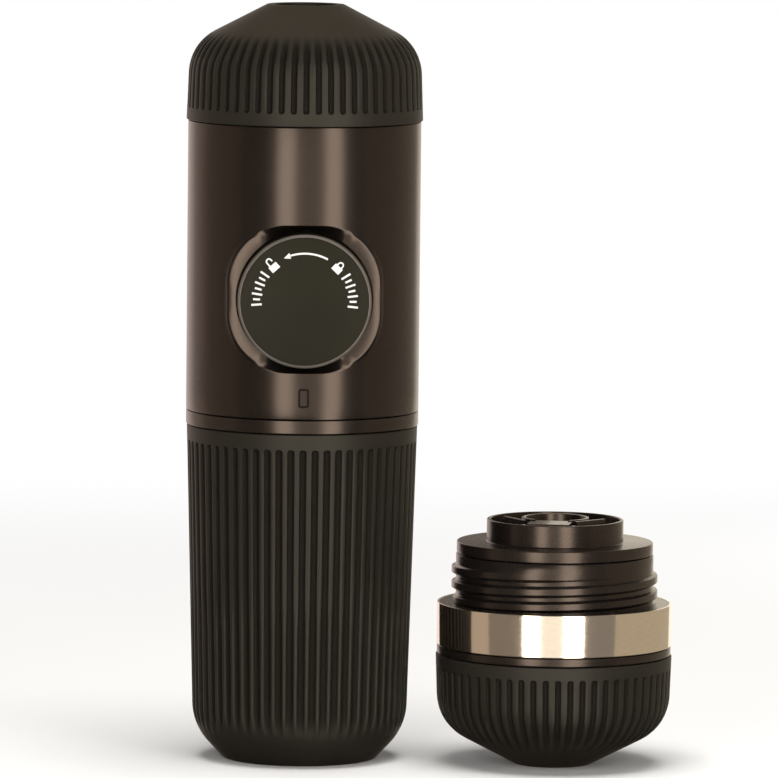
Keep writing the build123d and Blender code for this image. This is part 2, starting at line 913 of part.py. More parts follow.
def funnel_profile(plane, radius, foot, tip):
    """Half section of the cone that leads the coffee to the nozzle, from foot up to tip."""
    collar = spout_radius + funnel_thickness
    with BuildSketch(plane) as section:
        with BuildLine():
            Polyline(
                (radius, foot),
                (radius, foot + funnel_thickness),
                (collar, tip - funnel_collar),
                (collar, tip),
                (spout_radius, tip),
                (spout_radius, tip - funnel_collar),
                (radius - funnel_thickness, foot),
                close=True,
            )
        make_face()
    return section.sketch


def nozzle_profile(plane, floor):
    """Half section of a nozzle whose flange lies on the recess floor."""
    tail = spout_radius - fit_gap
    with BuildSketch(plane) as section:
        with BuildLine():
            Polyline(
                (nozzle_bore, floor - nozzle_tail),
                (tail, floor - nozzle_tail),
                (tail, floor),
                (nozzle_flange_radius, floor),
                (nozzle_flange_radius, floor + nozzle_flange_height),
                (nozzle_radius, floor + nozzle_flange_height),
                (nozzle_radius, floor + nozzle_reach),
                (nozzle_bore, floor + nozzle_reach),
                close=True,
            )
        make_face()
    return section.sketch


head_plane = upright((0, 0), head_z)
neck_ring_top = head_z + neck_ring_in_dome
recess_floor = head_height - recess_depth
funnel_tip = recess_floor - recess_wall - nozzle_seal_height

with BuildPart() as outlet_head:
    add_dome((0, 0), head_z, 1, head_height, neck_ring_in_dome)
finish(outlet_head.part, "outlet_head")

with BuildPart() as head_neck:
    extrude(disc(level(neck_ring_z), neck_radius), amount=neck_ring_top - neck_ring_z)
    extrude(disc(level(neck_ring_z), thread_radius), amount=body_top - neck_ring_z)
    extrude(
        disc(level(neck_ring_z), neck_ring_bore),
        amount=neck_ring_top - neck_ring_z,
        mode=Mode.SUBTRACT,
    )
finish(head_neck.part, "head_neck")

with BuildPart() as outlet_funnel:
    funnel_foot = basket_top + funnel_floor_gap - head_z
    turn(funnel_profile(head_plane, neck_ring_bore - fit_gap, funnel_foot, funnel_tip))
finish(outlet_funnel.part, "outlet_funnel")

with BuildPart() as nozzle:
    turn(nozzle_profile(head_plane, recess_floor))
finish(nozzle.part, "nozzle")

with BuildPart() as nozzle_seal:
    extrude(
        disc(level(head_z + funnel_tip), spout_radius + funnel_thickness, spout_radius),
        amount=nozzle_seal_height,
    )
finish(nozzle_seal.part, "nozzle_seal")

# ---- Capsule adapter, standing on its nose beside the maker ---------------------------------

adapter_plane = upright(adapter_centre, adapter_head_height, -1)
adapter_recess_floor = adapter_head_height - recess_depth
adapter_funnel_tip = adapter_recess_floor - recess_wall - nozzle_seal_height
cradle_z = recess_depth + recess_wall + nozzle_seal_height + adapter_funnel_height
cradle_top = cradle_z + capsule_depth
ledge_top = cradle_top - cradle_rim_height
capsule_inner_foot = cradle_z + cradle_wall

with BuildPart() as adapter_head:
    add_dome(adapter_centre, adapter_head_height, -1, adapter_head_height, adapter_neck_in_dome)
finish(adapter_head.part, "adapter_head")

with BuildPart() as adapter_funnel:
    turn(
        funnel_profile(
            adapter_plane,
            adapter_funnel_radius,
            adapter_head_height - cradle_z,
            adapter_funnel_tip,
        ),
        adapter_centre,
    )
finish(adapter_funnel.part, "adapter_funnel")

with BuildPart() as adapter_nozzle:
    turn(nozzle_profile(adapter_plane, adapter_recess_floor), adapter_centre)
finish(adapter_nozzle.part, "adapter_nozzle")

with BuildPart() as adapter_nozzle_seal:
    extrude(
        disc(
            level(recess_depth + recess_wall, adapter_centre),
            spout_radius + funnel_thickness,
            spout_radius,
        ),
        amount=nozzle_seal_height,
    )
finish(adapter_nozzle_seal.part, "adapter_nozzle_seal")

with BuildPart() as adapter_collar:
    extrude(
        disc(level(adapter_neck_z, adapter_centre), neck_radius, adapter_bore_radius),
        amount=adapter_thread_top - adapter_neck_z,
    )
    extrude(
        disc(level(adapter_band_top, adapter_centre), thread_radius, adapter_bore_radius),
        amount=adapter_thread_height,
    )
    extrude(
        disc(
            level(ledge_top - cradle_ledge_height, adapter_centre),
            adapter_bore_radius + fit_gap,
            cradle_ledge_radius,
        ),
        amount=cradle_ledge_height,
    )
finish(adapter_collar.part, "adapter_collar")

with BuildPart() as adapter_ring:
    extrude(
        disc(level(adapter_ring_z, adapter_centre), adapter_band_radius, neck_radius + fit_gap),
        amount=adapter_ring_height,
    )
finish(adapter_ring.part, "adapter_ring")

with BuildPart() as adapter_band:
    extrude(
        disc(level(adapter_band_z, adapter_centre), adapter_band_radius, neck_radius + fit_gap),
        amount=adapter_band_height,
    )
    chamfer(adapter_band.edges().filter_by(GeomType.CIRCLE).group_by(SortBy.RADIUS)[-1], band_edge)
finish(adapter_band.part, "adapter_band")

with BuildPart() as capsule_cradle:
    with BuildSketch(upright(adapter_centre, 0)):
        with BuildLine():
            Polyline(
                (spout_radius, cradle_z),
                (capsule_foot_radius + cradle_wall, cradle_z),
                (capsule_mouth_radius + cradle_wall, ledge_top),
                (cradle_rim_radius, ledge_top),
                (cradle_rim_radius, cradle_top),
                (capsule_mouth_radius, cradle_top),
                (capsule_foot_radius, capsule_inner_foot),
                (spout_radius, capsule_inner_foot),
                close=True,
            )
        make_face()
    revolve(axis=Axis((adapter_x, adapter_y, 0), (0, 0, 1)))
finish(capsule_cradle.part, "capsule_cradle")

with BuildPart() as capsule_seal:
    extrude(
        disc(level(cradle_top, adapter_centre), cradle_rim_radius, capsule_mouth_radius + cradle_wall),
        amount=capsule_seal_height,
    )
finish(capsule_seal.part, "capsule_seal")

with BuildPart() as adapter_top_insert:
    extrude(disc(level(insert_z, adapter_centre), flange_radius), amount=flange_height)
    extrude(
        disc(
            level(insert_z, adapter_centre),
            adapter_bore_radius - running_gap,
            adapter_bore_radius - running_gap - cradle_wall,
        ),
        amount=-insert_plug_depth,
    )
    extrude(
        disc(
            level(insert_top, adapter_centre),
            insert_ring_radius,
            insert_ring_radius - insert_ring_wall,
        ),
        amount=insert_ring_height,
    )
    # cage round the water inlet, open in front, with a straight wing on each side
    with BuildSketch(level(insert_top, adapter_centre)):
        Circle(cage_radius)
        Circle(cage_radius - cage_wall, mode=Mode.SUBTRACT)
        with Locations((0, -cage_radius)):
            Rectangle(2 * cage_opening, 2 * (cage_radius - wing_setback), mode=Mode.SUBTRACT)
        with Locations((cage_opening, -wing_setback), (-cage_opening - wing_length, -wing_setback)):
            Rectangle(wing_length, cage_wall, align=(Align.MIN, Align.CENTER))
    extrude(amount=cage_height)
    # flat panel in front, between two posts
    with BuildSketch(level(insert_top, adapter_centre)):
        with Locations((0, -panel_setback)):
            Rectangle(2 * panel_half_width, cage_wall)
        with Locations((-panel_half_width, -panel_setback), (panel_half_width, -panel_setback)):
            Circle(cage_wall)
    extrude(amount=panel_height)
    with BuildSketch(level(insert_z, adapter_centre)):
        Circle(passage_radius)
        with PolarLocations(needle_ring_radius, needle_count, start_angle=90):
            Circle(needle_radius + fit_gap)
    extrude(amount=flange_height, mode=Mode.SUBTRACT)
finish(adapter_top_insert.part, "adapter_top_insert")

with BuildPart() as piercing_needles:
    with BuildSketch(level(insert_z, adapter_centre)):
        with PolarLocations(needle_ring_radius, needle_count, start_angle=90):
            Circle(needle_radius)
    extrude(amount=flange_height)
    with BuildSketch(level(insert_z, adapter_centre)):
        with PolarLocations(needle_ring_radius, needle_count, start_angle=90):
            Circle(needle_radius)
    extrude(amount=-needle_length, taper=needle_taper)
finish(piercing_needles.part, "piercing_needles")
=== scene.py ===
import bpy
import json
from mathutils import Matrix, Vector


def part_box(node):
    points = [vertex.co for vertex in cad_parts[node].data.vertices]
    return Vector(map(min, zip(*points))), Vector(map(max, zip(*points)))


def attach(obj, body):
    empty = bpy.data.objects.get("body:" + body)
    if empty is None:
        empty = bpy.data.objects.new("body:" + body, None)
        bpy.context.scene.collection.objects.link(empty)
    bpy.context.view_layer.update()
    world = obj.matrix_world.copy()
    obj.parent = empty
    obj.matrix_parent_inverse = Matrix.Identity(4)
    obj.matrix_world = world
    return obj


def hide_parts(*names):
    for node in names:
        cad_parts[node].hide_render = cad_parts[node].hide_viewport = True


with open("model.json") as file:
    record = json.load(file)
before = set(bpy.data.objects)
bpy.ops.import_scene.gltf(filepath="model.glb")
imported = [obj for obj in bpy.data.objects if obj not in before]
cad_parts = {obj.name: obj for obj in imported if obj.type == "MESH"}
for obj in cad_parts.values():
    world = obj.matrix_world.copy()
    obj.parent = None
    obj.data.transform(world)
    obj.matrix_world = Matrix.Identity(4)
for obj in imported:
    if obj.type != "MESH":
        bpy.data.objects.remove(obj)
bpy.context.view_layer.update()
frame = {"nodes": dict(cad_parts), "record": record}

import json
import math

import bmesh
import bpy
from mathutils import Matrix, Vector

# The looks of a handheld espresso maker and its capsule adapter. Metres, in the CAD frame:
# +Z up the maker's axis, -Y out through the knob. A turned piece is drawn as a closed outline
# of (radius, height) points and spun about its axis.

MM = 0.001


# ---- Places read from the frame ----


def span(node):
    """Centre x, centre y, outer radius, lowest z and highest z of a turned CAD node."""
    low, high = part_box(node)
    middle_x, middle_y = (low[0] + high[0]) / 2, (low[1] + high[1]) / 2
    return middle_x, middle_y, (high[0] - low[0]) / 2, low[2], high[2]


_, _, CUP_RADIUS, _, CUP_TOP = span("cup")
_, _, BODY_RADIUS, BODY_LOW, BODY_TOP = span("body_shell")
_, _, DOME_RADIUS, HEAD_LOW, HEAD_TOP = span("outlet_head")
ADAPTER_X, ADAPTER_Y, _, ADAPTER_LOW, ADAPTER_HEAD_TOP = span("adapter_head")
_, _, KNOB_RADIUS, KNOB_LOW, KNOB_TOP = span("knob")
KNOB_Z = (KNOB_LOW + KNOB_TOP) / 2
KNOB_REACH = -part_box("knob")[0][1]
KNOB_BACK = -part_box("knob")[1][1]
ADAPTER = (ADAPTER_X, ADAPTER_Y)
MAKER = (0.0, 0.0)


# ---- Outlines ----


def rounded(corners, steps=5):
    """Closed outline from (x, y, corner radius) corners, its corners replaced by arcs."""
    outline = []
    count = len(corners)
    for i, (x, y, radius) in enumerate(corners):
        here = Vector((x, y))
        if radius <= 0:
            outline.append((x, y))
            continue
        before = (Vector(corners[i - 1][:2]) - here).normalized()
        after = (Vector(corners[(i + 1) % count][:2]) - here).normalized()
        half = math.acos(max(-1.0, min(1.0, before.dot(after)))) / 2
        start = here + before * radius / math.tan(half)
        middle = here + (before + after).normalized() * radius / math.sin(half)
        arm = start - middle
        turn = math.pi - 2 * half
        if before.x * after.y - before.y * after.x > 0:
            turn = -turn
        for k in range(steps + 1):
            spin = Matrix.Rotation(turn * k / steps, 2)
            outline.append(tuple(middle + spin @ arm))
    return outline


def even(first, last, steps):
    """Evenly spaced values from first to last."""
    return [first + (last - first) * k / steps for k in range(steps + 1)]


def subdivided(outline, longest):
    """The same closed outline with its long straight runs divided."""
    points = []
    count = len(outline)
    for i, a in enumerate(outline):
        b = outline[(i + 1) % count]
        pieces = max(1, math.ceil(math.dist(a, b) / longest))
        points += [
            (a[0] + (b[0] - a[0]) * k / pieces, a[1] + (b[1] - a[1]) * k / pieces)
            for k in range(pieces)
        ]
    return points


# ---- Mesh makers ----

GROOVE_SHADE = "groove_shade"


def placed(name, data):
    """A new object in the scene's collection."""
    thing = bpy.data.objects.new(name, data)
    bpy.context.collection.objects.link(thing)
    return thing


def make_object(name, vertices, faces, smooth_angle=32.0, groove_shade=None):
    """A mesh object with merged points, outward faces and edges sharp above an angle.

    The groove shares give each point its share of a groove's depth, which the fluted material
    turns into painted shade.
    """
    mesh = bpy.data.meshes.new(name)
    mesh.from_pydata([tuple(v) for v in vertices], [], faces)
    shape = bmesh.new()
    shape.from_mesh(mesh)
    if groove_shade:
        layer = shape.verts.layers.float.new(GROOVE_SHADE)
        for point, share in zip(shape.verts, groove_shade):
            point[layer] = share
    bmesh.ops.remove_doubles(shape, verts=shape.verts, dist=1e-7)
    bmesh.ops.dissolve_degenerate(shape, edges=shape.edges, dist=1e-8)
    bmesh.ops.recalc_face_normals(shape, faces=shape.faces)
    shape.to_mesh(mesh)
    shape.free()
    mesh.shade_smooth()
    mesh.set_sharp_from_angle(angle=math.radians(smooth_angle))
    return placed(name, mesh)


JOINED_SMOOTH_ANGLE = 40.0


def join_shapes(name, shapes):
    """One object from several shapes, each given as its points and its faces."""
    vertices, faces = [], []
    for points, sides in shapes:
        start = len(vertices)
        vertices += points
        faces += [tuple(start + k for k in side) for side in sides]
    return make_object(name, vertices, faces, JOINED_SMOOTH_ANGLE)


def grid_faces(rows, columns):
    """Quads of a closed outline of `rows` points, spun in `columns` steps."""
    faces = []
    for i in range(rows):
        below = (i + 1) % rows
        for j in range(columns):
            side = (j + 1) % columns
            faces.append((i * columns + j, i * columns + side,
                          below * columns + side, below * columns + j))
    return faces


def upright(centre):
    """Place (radius, angle, height) round a vertical axis."""
    def place(r, a, h):
        return Vector((centre[0] + r * math.cos(a), centre[1] + r * math.sin(a), h))
    return place


def frontward(r, a, h):
    """Place (radius, angle, depth) round the pump's axis, depth counted towards the knob."""
    return Vector((r * math.cos(a), -h, KNOB_Z + r * math.sin(a)))


def turned(name, outline, place, columns):
    """Spin a closed outline of (radius, height) points."""
    vertices = [
        place(r, 2 * math.pi * j / columns, h) for r, h in outline for j in range(columns)
    ]
    return make_object(name, vertices, grid_faces(len(outline), columns))


def smooth_step(t):
    """0 below 0, 1 above 1, and an even S in between."""
    t = max(0.0, min(1.0, t))
    return t * t * (3 - 2 * t)


FLUTES = 60
FLUTE_SHARES = (0.18, 0.5, 0.75, 0.9, 0.98, 1.04)
RIDGE_SHARE = 0.55
FLUTE_SMOOTH_ANGLE = 50.0


def fluted(name, outline, run, place, width, depth, crown, fade):
    """Spin an outline and press round-ended flutes into the stretch run = (first, last) of it.

    The flutes' round end is at the first height and they fade out towards the last. The ridges
    between them are crowned: they fall by `crown` towards the flutes.
    """
    first, last = run
    sign = 1 if last > first else -1
    widest = max(r for r, _ in outline)
    pitch = 2 * math.pi / FLUTES
    half = width / 2 / widest
    ridge_half = pitch / 2 - half
    offsets = [-pitch / 2, -half - RIDGE_SHARE * ridge_half]
    offsets += [-share * half for share in reversed(FLUTE_SHARES)]
    offsets += [share * half for share in FLUTE_SHARES]
    offsets.append(half + RIDGE_SHARE * ridge_half)
    angles = [(k * pitch + offset, offset) for k in range(FLUTES) for offset in offsets]
    count = len(outline)
    vertices, groove_shade = [], []
    for i, (r, h) in enumerate(outline):
        before, after = outline[i - 1], outline[(i + 1) % count]
        along = Vector((after[0] - before[0], after[1] - before[1])).normalized()
        outward = Vector((along.y, -along.x))
        travel = (h - first) * sign
        reach = (last - first) * sign
        strength = smooth_step((reach - travel) / fade) if outward.x > 0 else 0.0
        on_run = 0 <= travel <= reach and r > 0.6 * widest and outward.x > 0
        for angle, offset in angles:
            sink = share = 0.0
            if on_run:
                short = max(0.0, width / 2 - travel)
                inside = 1 - math.hypot(offset * r, short) / (width / 2)
                slope = max(0.0, 1 - max(0.0, abs(offset) - half) / ridge_half) ** 2
                sink = crown * slope * smooth_step(travel / width)
                if inside > 0:
                    share = math.sqrt(1 - (1 - inside) ** 2)
                    sink += (depth - sink) * share
            # Each point's share of the flute's depth, which the fluted material turns into painted
            # shade.
            groove_shade.append(share * strength)
            sink *= strength
            vertices.append(place(r - outward.x * sink, angle, h - outward.y * sink))
    faces = grid_faces(count, len(angles))
    return make_object(name, vertices, faces, FLUTE_SMOOTH_ANGLE, groove_shade)


def finish_piece(piece, body, slot, *nodes, material=None):
    """Give a piece its material and its body, and hide the CAD nodes that it stands for.

    Without a material of its own it gets the slot's.
    """
    piece.data.materials.clear()
    piece.data.materials.append(material or SLOT_MATERIALS[slot])
    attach(piece, body)
    if nodes:
        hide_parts(*nodes)


# ---- Materials ----


def set_inputs(node, inputs):
    """Set or link a node's inputs, given as {input: value or socket}."""
    for key, value in inputs.items():
        if isinstance(value, bpy.types.NodeSocket):
            node.id_data.links.new(value, node.inputs[key])
        else:
            node.inputs[key].default_value = value


def add_node(tree, kind, inputs):
    """A new shader node with its inputs."""
    node = tree.nodes.new("ShaderNode" + kind)
    set_inputs(node, inputs)
    return node


def new_material(name):
    """An empty node material: its tree, its shader and its object coordinates."""
    material = bpy.data.materials.new(name)
    material.use_nodes = True
    tree = material.node_tree
    place = add_node(tree, "TexCoord", {}).outputs["Object"]
    return material, tree, tree.nodes["Principled BSDF"], place


def noise(tree, place, scale, detail, roughness=0.55):
    """Noise of `scale` features a metre."""
    inputs = {"Vector": place, "Scale": scale, "Detail": detail, "Roughness": roughness}
    return add_node(tree, "TexNoise", inputs).outputs["Fac"]


def ramp(tree, factor, stops):
    """Colours or greys by factor."""
    node = add_node(tree, "ValToRGB", {"Fac": factor})
    elements = node.color_ramp.elements
    while len(elements) < len(stops):
        elements.new(0.5)
    for element, (position, colour) in zip(elements, stops):
        element.position = position
        element.color = (*colour, 1.0)
    return node.outputs["Color"]


def grey(value):
    return (value, value, value)


def scaled(colour, factor):
    return tuple(channel * factor for channel in colour)


def math_node(tree, operation, first, second):
    """Result of a math node, whose inputs are sockets or numbers."""
    node = add_node(tree, "Math", {0: first, 1: second})
    node.operation = operation
    return node.outputs[0]


def split_axes(tree, place):
    """X, Y and Z sockets of a coordinate."""
    return add_node(tree, "SeparateXYZ", {"Vector": place}).outputs


def add_bump(tree, shader, height, strength, distance):
    """Relief of `distance` metres from a height socket."""
    bump = add_node(tree, "Bump", {"Strength": strength, "Distance": distance, "Height": height})
    set_inputs(shader, {"Normal": bump.outputs["Normal"]})


WARM_GLOSS = (1.0, 0.80, 0.66, 1.0)
OLIVE_GLOSS = (1.0, 0.94, 0.80, 1.0)
MOTTLE_SCALE = 90
BRUSH_SCALE = 9000
BRUSH_TURN = 0.0012


def moulded(name, colour, roughness, grain, relief,
            mottle=0.12, specular=0.5, gloss_tint=WARM_GLOSS):
    """Moulded or coated plastic: fine grain, and faint mottling of its colour and gloss."""
    material, tree, shader, place = new_material(name)
    blotch = noise(tree, place, MOTTLE_SCALE, 4.0)
    shades = [(0.3, scaled(colour, 1 - mottle)), (0.7, scaled(colour, 1 + mottle))]
    tint = ramp(tree, blotch, shades)
    fine = noise(tree, place, grain, 2.0)
    gloss = ramp(tree, fine, [(0.3, grey(roughness - 0.04)), (0.7, grey(roughness + 0.04))])
    set_inputs(shader, {"Base Color": tint, "Roughness": gloss,
                        "Specular IOR Level": specular, "Specular Tint": gloss_tint})
    add_bump(tree, shader, fine, 0.5, relief)
    return material


def brushed(name, colour, roughness, centre, relief=4e-6):
    """Turned metal with fine brush lines round a vertical axis."""
    material, tree, shader, place = new_material(name)
    x, y, z = split_axes(tree, place)
    x = math_node(tree, "SUBTRACT", x, centre[0])
    y = math_node(tree, "SUBTRACT", y, centre[1])
    turn = math_node(tree, "ARCTAN2", y, x)
    round_axis = math_node(tree, "MULTIPLY", turn, BRUSH_TURN)
    lines = add_node(tree, "CombineXYZ", {"X": round_axis, "Z": z})
    streak = noise(tree, lines.outputs["Vector"], BRUSH_SCALE, 3.0, 0.6)
    tint = ramp(tree, streak, [(0.25, scaled(colour, 0.9)), (0.75, scaled(colour, 1.06))])
    gloss = ramp(tree, streak, [(0.25, grey(roughness - 0.05)), (0.75, grey(roughness + 0.06))])
    set_inputs(shader, {"Base Color": tint, "Roughness": gloss, "Metallic": 1.0})
    add_bump(tree, shader, streak, 0.35, relief)
    return material


def paint_groove_shade(material):
    """Paint shade into a moulded material down in the flutes: its colour darker by the groove's
    depth, and its gloss duller there.
    """
    tree = material.node_tree
    shader = tree.nodes["Principled BSDF"]
    depth = add_node(tree, "Attribute", {})
    depth.attribute_name = GROOVE_SHADE
    # The colour is multiplied darker with the groove's depth, a painted shade; the roughness rises
    # there.
    for socket, blend, stops in (
        ("Base Color", "MULTIPLY", [(0.0, grey(1.0)), (0.45, grey(0.35)), (1.0, grey(0.16))]),
        ("Roughness", "ADD", [(0.0, grey(0.0)), (0.6, grey(0.28)), (1.0, grey(0.30))]),
    ):
        before = shader.inputs[socket].links[0].from_socket
        mix = add_node(tree, "Mix", {})
        mix.data_type = "RGBA"
        mix.blend_type = blend
        share = ramp(tree, depth.outputs["Fac"], stops)
        set_inputs(mix, {"Factor": 1.0, "A": before, "B": share})
        set_inputs(shader, {socket: mix.outputs["Result"]})
    return material


SOFT_TOUCH = moulded("soft_touch_black", (0.0060, 0.0047, 0.0040), 0.24, 5200, 4e-6)
# The fluted black, with painted shade down in its flutes.
FLUTED_PAINTED_SHADE = paint_groove_shade(moulded("fluted_black_groove_shade", (0.0145, 0.0130, 0.0102), 0.50, 5200, 8e-6,
                                specular=0.24, gloss_tint=OLIVE_GLOSS))
KNOB_FACE = moulded("knob_black", (0.0070, 0.0068, 0.0038), 0.46, 6500, 6e-6, specular=0.15,
                    gloss_tint=OLIVE_GLOSS)
# The knob's rim, many times lighter and glossier than the knob itself: a painted highlight line
# round the knob.
KNOB_EDGE_HIGHLIGHT = moulded("knob_edge_highlight", (0.085, 0.078, 0.070), 0.35, 6500, 4e-6, specular=1.0)
PLASTIC = moulded("black_plastic", (0.0075, 0.0058, 0.0050), 0.25, 4200, 6e-6)
TANK = moulded("tank_plastic", (0.032, 0.028, 0.026), 0.30, 3600, 6e-6)
SILICONE = moulded("silicone", (0.045, 0.040, 0.037), 0.62, 3000, 1.5e-5, specular=0.3)
BAND_STEEL = brushed("band_steel", (0.76, 0.68, 0.57), 0.10, ADAPTER, 2e-6)
STAINLESS = brushed("stainless", (0.62, 0.60, 0.58), 0.3, MAKER)
SPRING_STEEL = brushed("spring_steel", (0.66, 0.66, 0.66), 0.22, MAKER)
MARK_BLACK = moulded("mark_black", (0.0022, 0.0018, 0.0015), 0.55, 5200, 4e-6, specular=0.15)
LEGEND_WHITE = moulded("legend_white", (0.82, 0.81, 0.78), 0.5, 5000, 2e-6, mottle=0.03)

SLOT_MATERIALS = {
    "soft_touch_black": SOFT_TOUCH,
    "black_plastic": PLASTIC,
    "tank_plastic": TANK,
    "knob_plastic": KNOB_FACE,
    "silicone": SILICONE,
    "steel": BAND_STEEL,
    "stainless": STAINLESS,
    "spring_steel": SPRING_STEEL,
}
for entry in frame["record"]["subparts"]:
    node = frame["nodes"][entry["node"]]
    node.data.materials.clear()
    node.data.materials.append(SLOT_MATERIALS[entry["material_slot"]])


# ---- Cup ----

CUP_WALL = 2.0 * MM
CUP_DRAFT = math.tan(math.radians(1.55))
CUP_CHAMFER_HEIGHT = 8.55 * MM
CUP_CHAMFER = math.tan(math.radians(42.9))
CUP_BEND = 15.7 * MM
CUP_FLUTES = (85.0 * MM, 7.0 * MM)
CUP_FLUTE_END = 2.2 * MM


def cup_section(inset, foot):
    """Corners of the cup's half section, `inset` inside its outer surface."""
    mouth = CUP_RADIUS - inset
    corner = mouth - CUP_DRAFT * (CUP_TOP - CUP_CHAMFER_HEIGHT)
    return [
        (corner - CUP_CHAMFER * CUP_CHAMFER_HEIGHT, foot, 1.2 * MM),
        (corner + CUP_DRAFT * foot, foot + CUP_CHAMFER_HEIGHT, CUP_BEND - inset),
        (mouth, CUP_TOP, 0.35 * MM),
    ]


FLUTE_END_ROWS = 9
FLUTE_END_SHARE = 0.62
FLUTE_END_CROWDING = 1.4


def flute_rows(outline, first, last, width):
    """Add points to an outline where the flutes' round ends need them, closest at the tip."""
    sign = 1 if last > first else -1
    points = []
    count = len(outline)
    shares = [share ** FLUTE_END_CROWDING for share in even(0, 1, FLUTE_END_ROWS)]
    heights = [first + sign * width * share * FLUTE_END_SHARE for share in shares]
    for i, a in enumerate(outline):
        b = outline[(i + 1) % count]
        points.append(a)
        if abs(b[0] - a[0]) > 0.3 * abs(b[1] - a[1]) or a[0] < 0.5 * CUP_RADIUS:
            continue
        between = [h for h in heights if min(a[1], b[1]) < h < max(a[1], b[1])]
        between.sort(reverse=b[1] < a[1])
        points += [(a[0] + (b[0] - a[0]) * (h - a[1]) / (b[1] - a[1]), h) for h in between]
    return points


def make_cup():
    """The long fluted cup."""
    outer = cup_section(0, 0)
    inner = cup_section(CUP_WALL, CUP_WALL)
    inner.reverse()
    section = rounded([(0, 0, 0), *outer, *inner, (0, CUP_WALL, 0)], 14)
    section = subdivided(section, 6 * MM)
    section = flute_rows(section, *CUP_FLUTES, CUP_FLUTE_END)
    piece = fluted("cup_shell", section, CUP_FLUTES, upright(MAKER),
                   width=1.85 * MM, depth=0.95 * MM, crown=0.10 * MM, fade=9 * MM)
    finish_piece(piece, "cup", "soft_touch_black", "cup", material=FLUTED_PAINTED_SHADE)


# ---- Outlet heads ----

DOME_SLOPE = math.tan(math.radians(27.5))
DOME_LEAN = math.tan(math.radians(2.0))
NOSE_RADIUS = 10.2 * MM
DOME_BEND = 13.0 * MM
DOME_WALL = 4.4 * MM
RECESS_RADIUS = 8.5 * MM
RECESS_DEPTH = 8.4 * MM
RECESS_WALL = 2.0 * MM
SPOUT_RADIUS = 2.6 * MM
NECK_RADIUS = 26.95 * MM
NECK_IN_DOME = 11.6 * MM
DOME_FLUTES = (3.3 * MM, 23.6 * MM)
DOME_FLUTE_END = 1.75 * MM


def dome_corner(inset, height):
    """Where the dome's wall meets its cone, and the cone's own line, `inset` inside."""
    line = height + DOME_SLOPE * NOSE_RADIUS - inset * math.hypot(1, DOME_SLOPE)
    wall = DOME_RADIUS - inset
    corner_h = (line - DOME_SLOPE * wall) / (1 - DOME_SLOPE * DOME_LEAN)
    return wall, wall - DOME_LEAN * corner_h, corner_h, line


def make_dome(name, centre, foot, up, height, node):
    """An outlet head: fluted wall, cone, and the nozzle's recess in its nose."""
    wall, corner, corner_h, _ = dome_corner(0, height)
    _, inner, inner_h, line = dome_corner(DOME_WALL, height)
    roof = height - RECESS_DEPTH - RECESS_WALL
    inner_tip = (line - roof) / DOME_SLOPE
    floor = height - RECESS_DEPTH
    corners = [
        (NECK_RADIUS, 0, 0.3 * MM),
        (wall, 0, 0.35 * MM),
        (corner, corner_h, DOME_BEND),
        (NOSE_RADIUS, height, 0.5 * MM),
        (RECESS_RADIUS, height, 0.4 * MM),
        (RECESS_RADIUS, floor, 0.3 * MM),
        (SPOUT_RADIUS, floor, 0.0),
        (SPOUT_RADIUS, roof, 0.0),
        (inner_tip, roof, 0.0),
        (inner, inner_h, 4 * MM),
        (NECK_RADIUS, NECK_IN_DOME, 0.0),
    ]
    section = [(r, foot + up * h) for r, h in rounded(corners, 14)]
    section = subdivided(section, 4 * MM)
    flutes = tuple(foot + up * h for h in DOME_FLUTES)
    section = flute_rows(section, *flutes, DOME_FLUTE_END)
    if up < 0:
        section.reverse()
    piece = fluted(name, section, flutes, upright(centre),
                   width=1.6 * MM, depth=0.85 * MM, crown=0.08 * MM, fade=5 * MM)
    finish_piece(piece, node, "soft_touch_black", node, material=FLUTED_PAINTED_SHADE)


# ---- Body shell with the knob's surround ----

BODY_WALL = 2.0 * MM
BODY_BEVEL = 0.22 * MM
SURROUND_HALF_WIDTH = 20.45 * MM
SURROUND_HALF_HEIGHT = 19.5 * MM
SURROUND_CORNER = 15.5 * MM
SURROUND_REACH = 28.5 * MM
WELL_RADIUS = 17.9 * MM
WELL_EDGE = WELL_RADIUS + 0.12 * MM
WELL_FLOOR = 19.8 * MM
LIP_RADIUS = 16.5 * MM
LIP_BACK = 18.0 * MM
LIP_EASE = 0.5 * MM
FACE_WIDTH = 2.43 * MM
FACE_SLOPE, FACE_BEND = 0.40, 121.0
EDGE_ROLL = 0.6 * MM
DISH_DEPTH = 0.3 * MM
CREST_SHARE = 0.2
FOOT_WIDTH = 0.35 * MM
FOOT_CURVE = 2.6
FLUSH_EASE = 0.35 * MM
PATCH_HALF_WIDTH = 27.0 * MM
PATCH_HALF_HEIGHT = 25.0 * MM
PATCH_CELLS = 48
PATCH_MARGIN = 1.2 * MM
BACK_CELLS = 84
FIRST_PATCH_ROW = 4
FOOT_AWAYS = (2.4, 1.7, 1.2, 0.85, 0.6, 0.45, 0.35, 0.28, 0.21, 0.14, 0.07, 0.0)
FACE_WAYS = (0.008, 0.02, 0.035, 0.055, 0.08, 0.11, 0.145, 0.185, 0.23, 0.29, 0.36, 0.44, 0.53,
             0.63, 0.74, 0.87, 1.0)


def surround_radius(angle):
    """Distance from the knob's axis to the surround's rounded-square outline."""
    x, z = abs(math.cos(angle)), abs(math.sin(angle))
    if x * SURROUND_HALF_HEIGHT > z * SURROUND_HALF_WIDTH:
        reach = SURROUND_HALF_WIDTH / x
    else:
        reach = SURROUND_HALF_HEIGHT / z
    core_x = SURROUND_HALF_WIDTH - SURROUND_CORNER
    core_z = SURROUND_HALF_HEIGHT - SURROUND_CORNER
    if reach * x > core_x and reach * z > core_z:
        toward = x * core_x + z * core_z
        reach = toward + math.sqrt(toward**2 - core_x**2 - core_z**2 + SURROUND_CORNER**2)
    return reach


